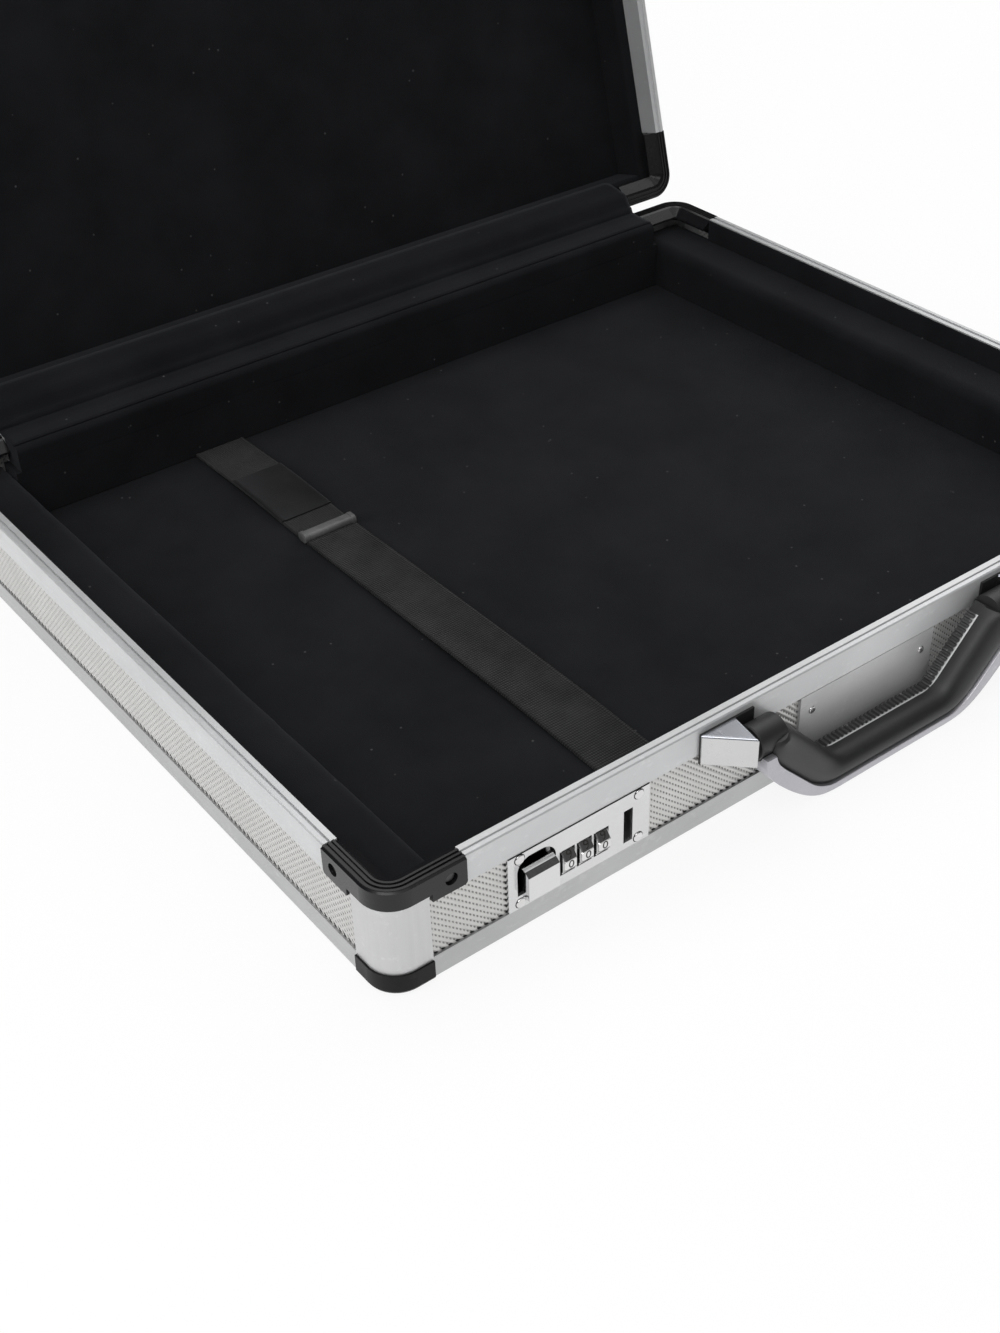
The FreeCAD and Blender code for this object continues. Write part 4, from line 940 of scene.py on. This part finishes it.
def makeFrame():
    # the bright band round the outside of the grip
    h = handleShape
    near, far, ease = front - h["frameFront"], front - h["back"], h["frameEase"]
    slight = ease * 0.3

    def section(width, step):
        return [(0, far), (0, near + ease), (slight, near + slight), (ease, near), (width - ease, near),
                (width - slight, near + slight), (width, near + ease), (width, far)]

    inner, outer = (curvedLine(bothHalves(h[line]), h["curveSteps"]) for line in ("inner", "outer"))
    bm = sweepBetween(inner, outer, section, h["sections"])
    piece = newPiece("handleFrame", bm, "handle", frameMetal, "handle_frame")
    joinBosses(piece, gripBoss["gap"], frameMetal, "DIFFERENCE")
    smoothByAngle(piece, 35)


def makeGrip():
    h, s = handleShape, stripShape
    near, far = front - h["gripFront"], front - h["back"]

    def section(width, step):
        crest = width * h["crest"]
        top = near + (h["endEase"] if step in (0, h["sections"]) else 0)  # the ends' front edge is eased
        points = [(s["deep"], far), (s["deep"], far - s["width"] + s["seat"]), (0, far - s["width"])]
        turns = [radians(90 * k / h["domeSteps"]) for k in range(h["domeSteps"] + 1)]
        points += [(crest * (1 - cos(a)), top + h["fingerDrop"] * (1 - sin(a))) for a in turns]
        points += [(crest + (width - crest) * cos(a), top + h["outerDrop"] * (1 - sin(a)))
                   for a in reversed(turns[:-1])]
        return points + [(width, far)]

    finger = roundedLine(bothHalves(h["finger"]), h["fingerRound"], h["bendSteps"])
    outer = curvedLine(bothHalves(h["gripTop"] + h["inner"]), h["curveSteps"])
    bm = sweepBetween(finger, outer, section, h["sections"])
    piece = newPiece("handleGrip", bm, "handle", handleBlack, "handle_grip")
    joinBosses(piece, 0, handleBlack, "UNION")
    smoothByAngle(piece, 38)


def toothSpots(length):
    # distance along a straight run and height of the strip's outline there
    s = stripShape
    count = int((length - 2 * s["margin"]) / s["pitch"])
    lead = (length - count * s["pitch"]) / 2
    ease = s["pitch"] * s["toothEase"]
    spots = [(s["margin"], 0)]
    for index in range(count):
        start = lead + (index + s["share"] / 2) * s["pitch"]
        end = start + s["share"] * s["pitch"]
        spots += [(start - ease, 0), (start + ease, s["tooth"]), (end - ease, s["tooth"]), (end + ease, 0)]
    return spots + [(length - s["margin"], 0)]


def makeRibStrips():
    # toothed strips let into the finger side, one for each straight run
    s = stripShape
    corners = bothHalves(handleShape["finger"][1:])
    farEdge = front - handleShape["back"]
    nearEdge = farEdge - s["width"] + s["inlay"]
    bm = bmesh.new()
    for (x0, z0), (x1, z1) in zip(corners, corners[1:]):
        length = dist((x0, z0), (x1, z1))
        ux, uz = (x1 - x0) / length, (z1 - z0) / length
        for y0, y1, cut in ((nearEdge, nearEdge + s["edge"], 0), (nearEdge + s["edge"], farEdge, 1)):
            loops = []
            for along, depth in toothSpots(length):
                # into the grip is (uz, -ux)
                (topX, topZ), (lowX, lowZ) = ((x0 + ux * along + uz * deep, z0 + uz * along - ux * deep)
                                              for deep in (depth * cut, s["deep"]))
                loops.append([(topX, y0, topZ), (topX, y1, topZ), (lowX, y1, lowZ), (lowX, y0, lowZ)])
            loft(loops, bm)
    piece = newPiece("handleRibStrips", bm, "handle", toothedSteel, "handle_rib_strips")


def joinBosses(piece, gap, material, operation):
    # the round ends that turn on the brackets' pins, grown by a gap where they are cut out
    b = gripBoss
    outer = b["outer"] + 3 * gap
    turns = [tau * i / b["steps"] for i in range(b["steps"])]
    for sign in (-1, 1):
        loops = []
        for x, ease in ((b["inner"] - gap, 0), (outer - b["ease"], 0), (outer, b["ease"])):
            radius = b["radius"] - ease + gap
            loops.append([(sign * x, front - b["out"] + radius * cos(a),
                           b["height"] + radius * sin(a)) for a in turns])
        joinMesh(piece, newMesh("bossTool", loft(loops), material), operation)


makeFrame()
makeGrip()
makeRibStrips()
print("handle is ready")


wheelNumbers = {"flat": 6.60, "height": 5.0, "widen": 1.15, "depth": 0.12, "count": 10, "curveSteps": 3,
                "plateFrom": 52.63, "from": 24.0, "pitch": 7.95, "width": 5.6, "axisDepth": 3.9,
                "axisHeight": 21.42}


def digitMesh(digit, x):
    # one figure on its flat of the dial at x
    w = wheelNumbers
    curve = bpy.data.curves.new("digit", "FONT")
    curve.body = str(digit)
    curve.size = w["height"] * mm
    curve.align_x, curve.align_y = "CENTER", "CENTER"
    curve.extrude = w["depth"] / 2 * mm
    curve.resolution_u = w["curveSteps"]
    text = newObject("digit", curve)
    mesh = evaluatedMesh(text)
    bpy.data.objects.remove(text)
    place = Matrix.Translation((x * mm, (front + w["axisDepth"]) * mm, w["axisHeight"] * mm))
    turn = Matrix.Rotation(tau * digit / w["count"], 4, "X")
    out = Matrix.Translation((0, -w["flat"] * mm, 0)) @ Matrix.Diagonal((w["widen"], 1, 1, 1))
    stand = Matrix.Rotation(radians(90), 4, "X")
    mesh.transform(place @ turn @ out @ stand)
    return mesh


def makeNumbers():
    w = wheelNumbers
    for side, sign in (("left", 1), ("right", -1)):
        for index in range(3):
            x = sign * (-halfWidth + w["plateFrom"] + w["from"] + index * w["pitch"] + w["width"] / 2)
            bm = bmesh.new()
            for digit in range(w["count"]):
                mesh = digitMesh(digit, x)
                bm.from_mesh(mesh)
                bpy.data.meshes.remove(mesh)
            mesh = bpy.data.meshes.new("numbers_%s_%d" % (side, index + 1))
            bm.to_mesh(mesh)
            bm.free()
            mesh.materials.append(digitInk)
            piece = newObject(mesh.name, mesh)
            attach(piece, "wheel_%s_%d" % (side, index + 1))


makeNumbers()
print("numbers are ready")


studio = {
    "floorSize": 6.0, "floorDrop": 0.0003, "floorShade": 0.86, "floorGlow": 0.88,
    "worldShade": (0.82, 0.82, 0.8282), "worldStrength": 0.62, "aim": (0, 0, 0.05),
    "room": [(0.0, 1.0), (0.495, 1.0), (0.505, 0.22), (0.62, 0.07), (0.90, 0.07), (0.945, 1.0), (1.0, 1.0)],
    "lamps": [  # place, size, power
        ((-1.1, -0.9, 1.7), 1.3, 17.0), ((1.7, 0.5, 1.5), 1.5, 12.0), ((0.1, 1.2, 2.1), 1.6, 13.0),
        ((-1.9, 0.4, 1.0), 0.8, 9.0)],
}
photoCamera = {"place": (-446.0, -548.9, 461.9), "yaw": 36.19, "pitch": 37.18, "roll": -1.93,
               "focal": 1760.2, "frame": (1000, 1333), "sensor": 36.0}


def seenRays(tree, rays):
    # 1 for what the camera sees straight on, in a reflection or through something clear
    seen = mathNode(tree, "MAXIMUM", rays.outputs["Is Camera Ray"], rays.outputs["Is Glossy Ray"])
    return mathNode(tree, "MAXIMUM", seen, rays.outputs["Is Transmission Ray"])


def mixShaders(tree, factor, first, second, out):
    mix = addNode(tree, "MixShader")
    for source, socket in zip((factor, first.outputs[0], second.outputs[0]), mix.inputs):
        feed(tree, source, socket)
    feed(tree, mix.outputs[0], out.inputs["Surface"])


def makeFloor():
    material, tree, shader = newMaterial("floorWhite")
    shader.inputs["Base Color"].default_value = (*grey(studio["floorShade"]), 1)
    shader.inputs["Roughness"].default_value = 0.9
    glow = addNode(tree, "Emission")
    glow.inputs["Strength"].default_value = 1.0
    seen = seenRays(tree, addNode(tree, "LightPath"))
    out = shader.outputs[0].links[0].to_node
    mixShaders(tree, times(tree, seen, studio["floorGlow"]), shader, glow, out)
    half = studio["floorSize"] / 2
    mesh = bpy.data.meshes.new("floor")
    corners = [(-half, -half, 0), (half, -half, 0), (half, half, 0), (-half, half, 0)]
    mesh.from_pydata(corners, [], [(0, 1, 2, 3)])
    mesh.materials.append(material)
    floor = newObject("floor", mesh)
    floor.location.z = -studio["floorDrop"]


def makeWorld():
    world = bpy.data.worlds.new("studio")
    bpy.context.scene.world = world
    world.use_nodes = True
    tree = world.node_tree
    tree.nodes.clear()
    rays = addNode(tree, "LightPath")
    soft = addNode(tree, "Background")
    soft.inputs["Color"].default_value = (*studio["worldShade"], 1)
    soft.inputs["Strength"].default_value = studio["worldStrength"]
    # polished metal shows a white floor, a darker room and a light ceiling
    place = splitNode(tree, addNode(tree, "TexCoord").outputs["Generated"])
    height = mathNode(tree, "MULTIPLY_ADD", place["Z"], 0.5, 0.5)
    room = rampColour(tree, height, [(level, grey(shade)) for level, shade in studio["room"]])
    white = addNode(tree, "Background")
    feed(tree, mixColour(tree, rays.outputs["Is Camera Ray"], room, grey(1.0)), white.inputs["Color"])
    white.inputs["Strength"].default_value = 1.0
    mixShaders(tree, seenRays(tree, rays), soft, white, addNode(tree, "OutputWorld"))


def makeLamps():
    for index, (place, size, power) in enumerate(studio["lamps"]):
        lamp = bpy.data.lights.new("softLamp%d" % (index + 1), "AREA")
        lamp.size = size
        lamp.energy = power
        holder = newObject(lamp.name, lamp)
        holder.location = place
        holder.rotation_euler = (Vector(studio["aim"]) - Vector(place)).to_track_quat("-Z", "Y").to_euler()


def makeCamera():
    p = photoCamera
    yaw, pitch, roll = (radians(p[k]) for k in ("yaw", "pitch", "roll"))
    forward = Vector((sin(yaw) * cos(pitch), cos(yaw) * cos(pitch), -sin(pitch)))
    right = Vector((cos(yaw), -sin(yaw), 0))
    up = right.cross(forward)
    rightRolled = right * cos(roll) + up * sin(roll)
    upRolled = up * cos(roll) - right * sin(roll)
    data = bpy.data.cameras.new("photoCamera")
    data.sensor_fit = "AUTO"
    data.sensor_width = p["sensor"]
    data.lens = p["focal"] * p["sensor"] / p["frame"][1]
    data.clip_start = 0.01
    camera = newObject("photoCamera", data)
    turn = Matrix((rightRolled, upRolled, -forward)).transposed().to_4x4()
    camera.matrix_world = Matrix.Translation(Vector(p["place"]) * mm) @ turn
    bpy.context.scene.camera = camera


makeFloor()
makeWorld()
makeLamps()
makeCamera()
bpy.context.scene.view_settings.view_transform = "Standard"
print("studio and camera are ready")
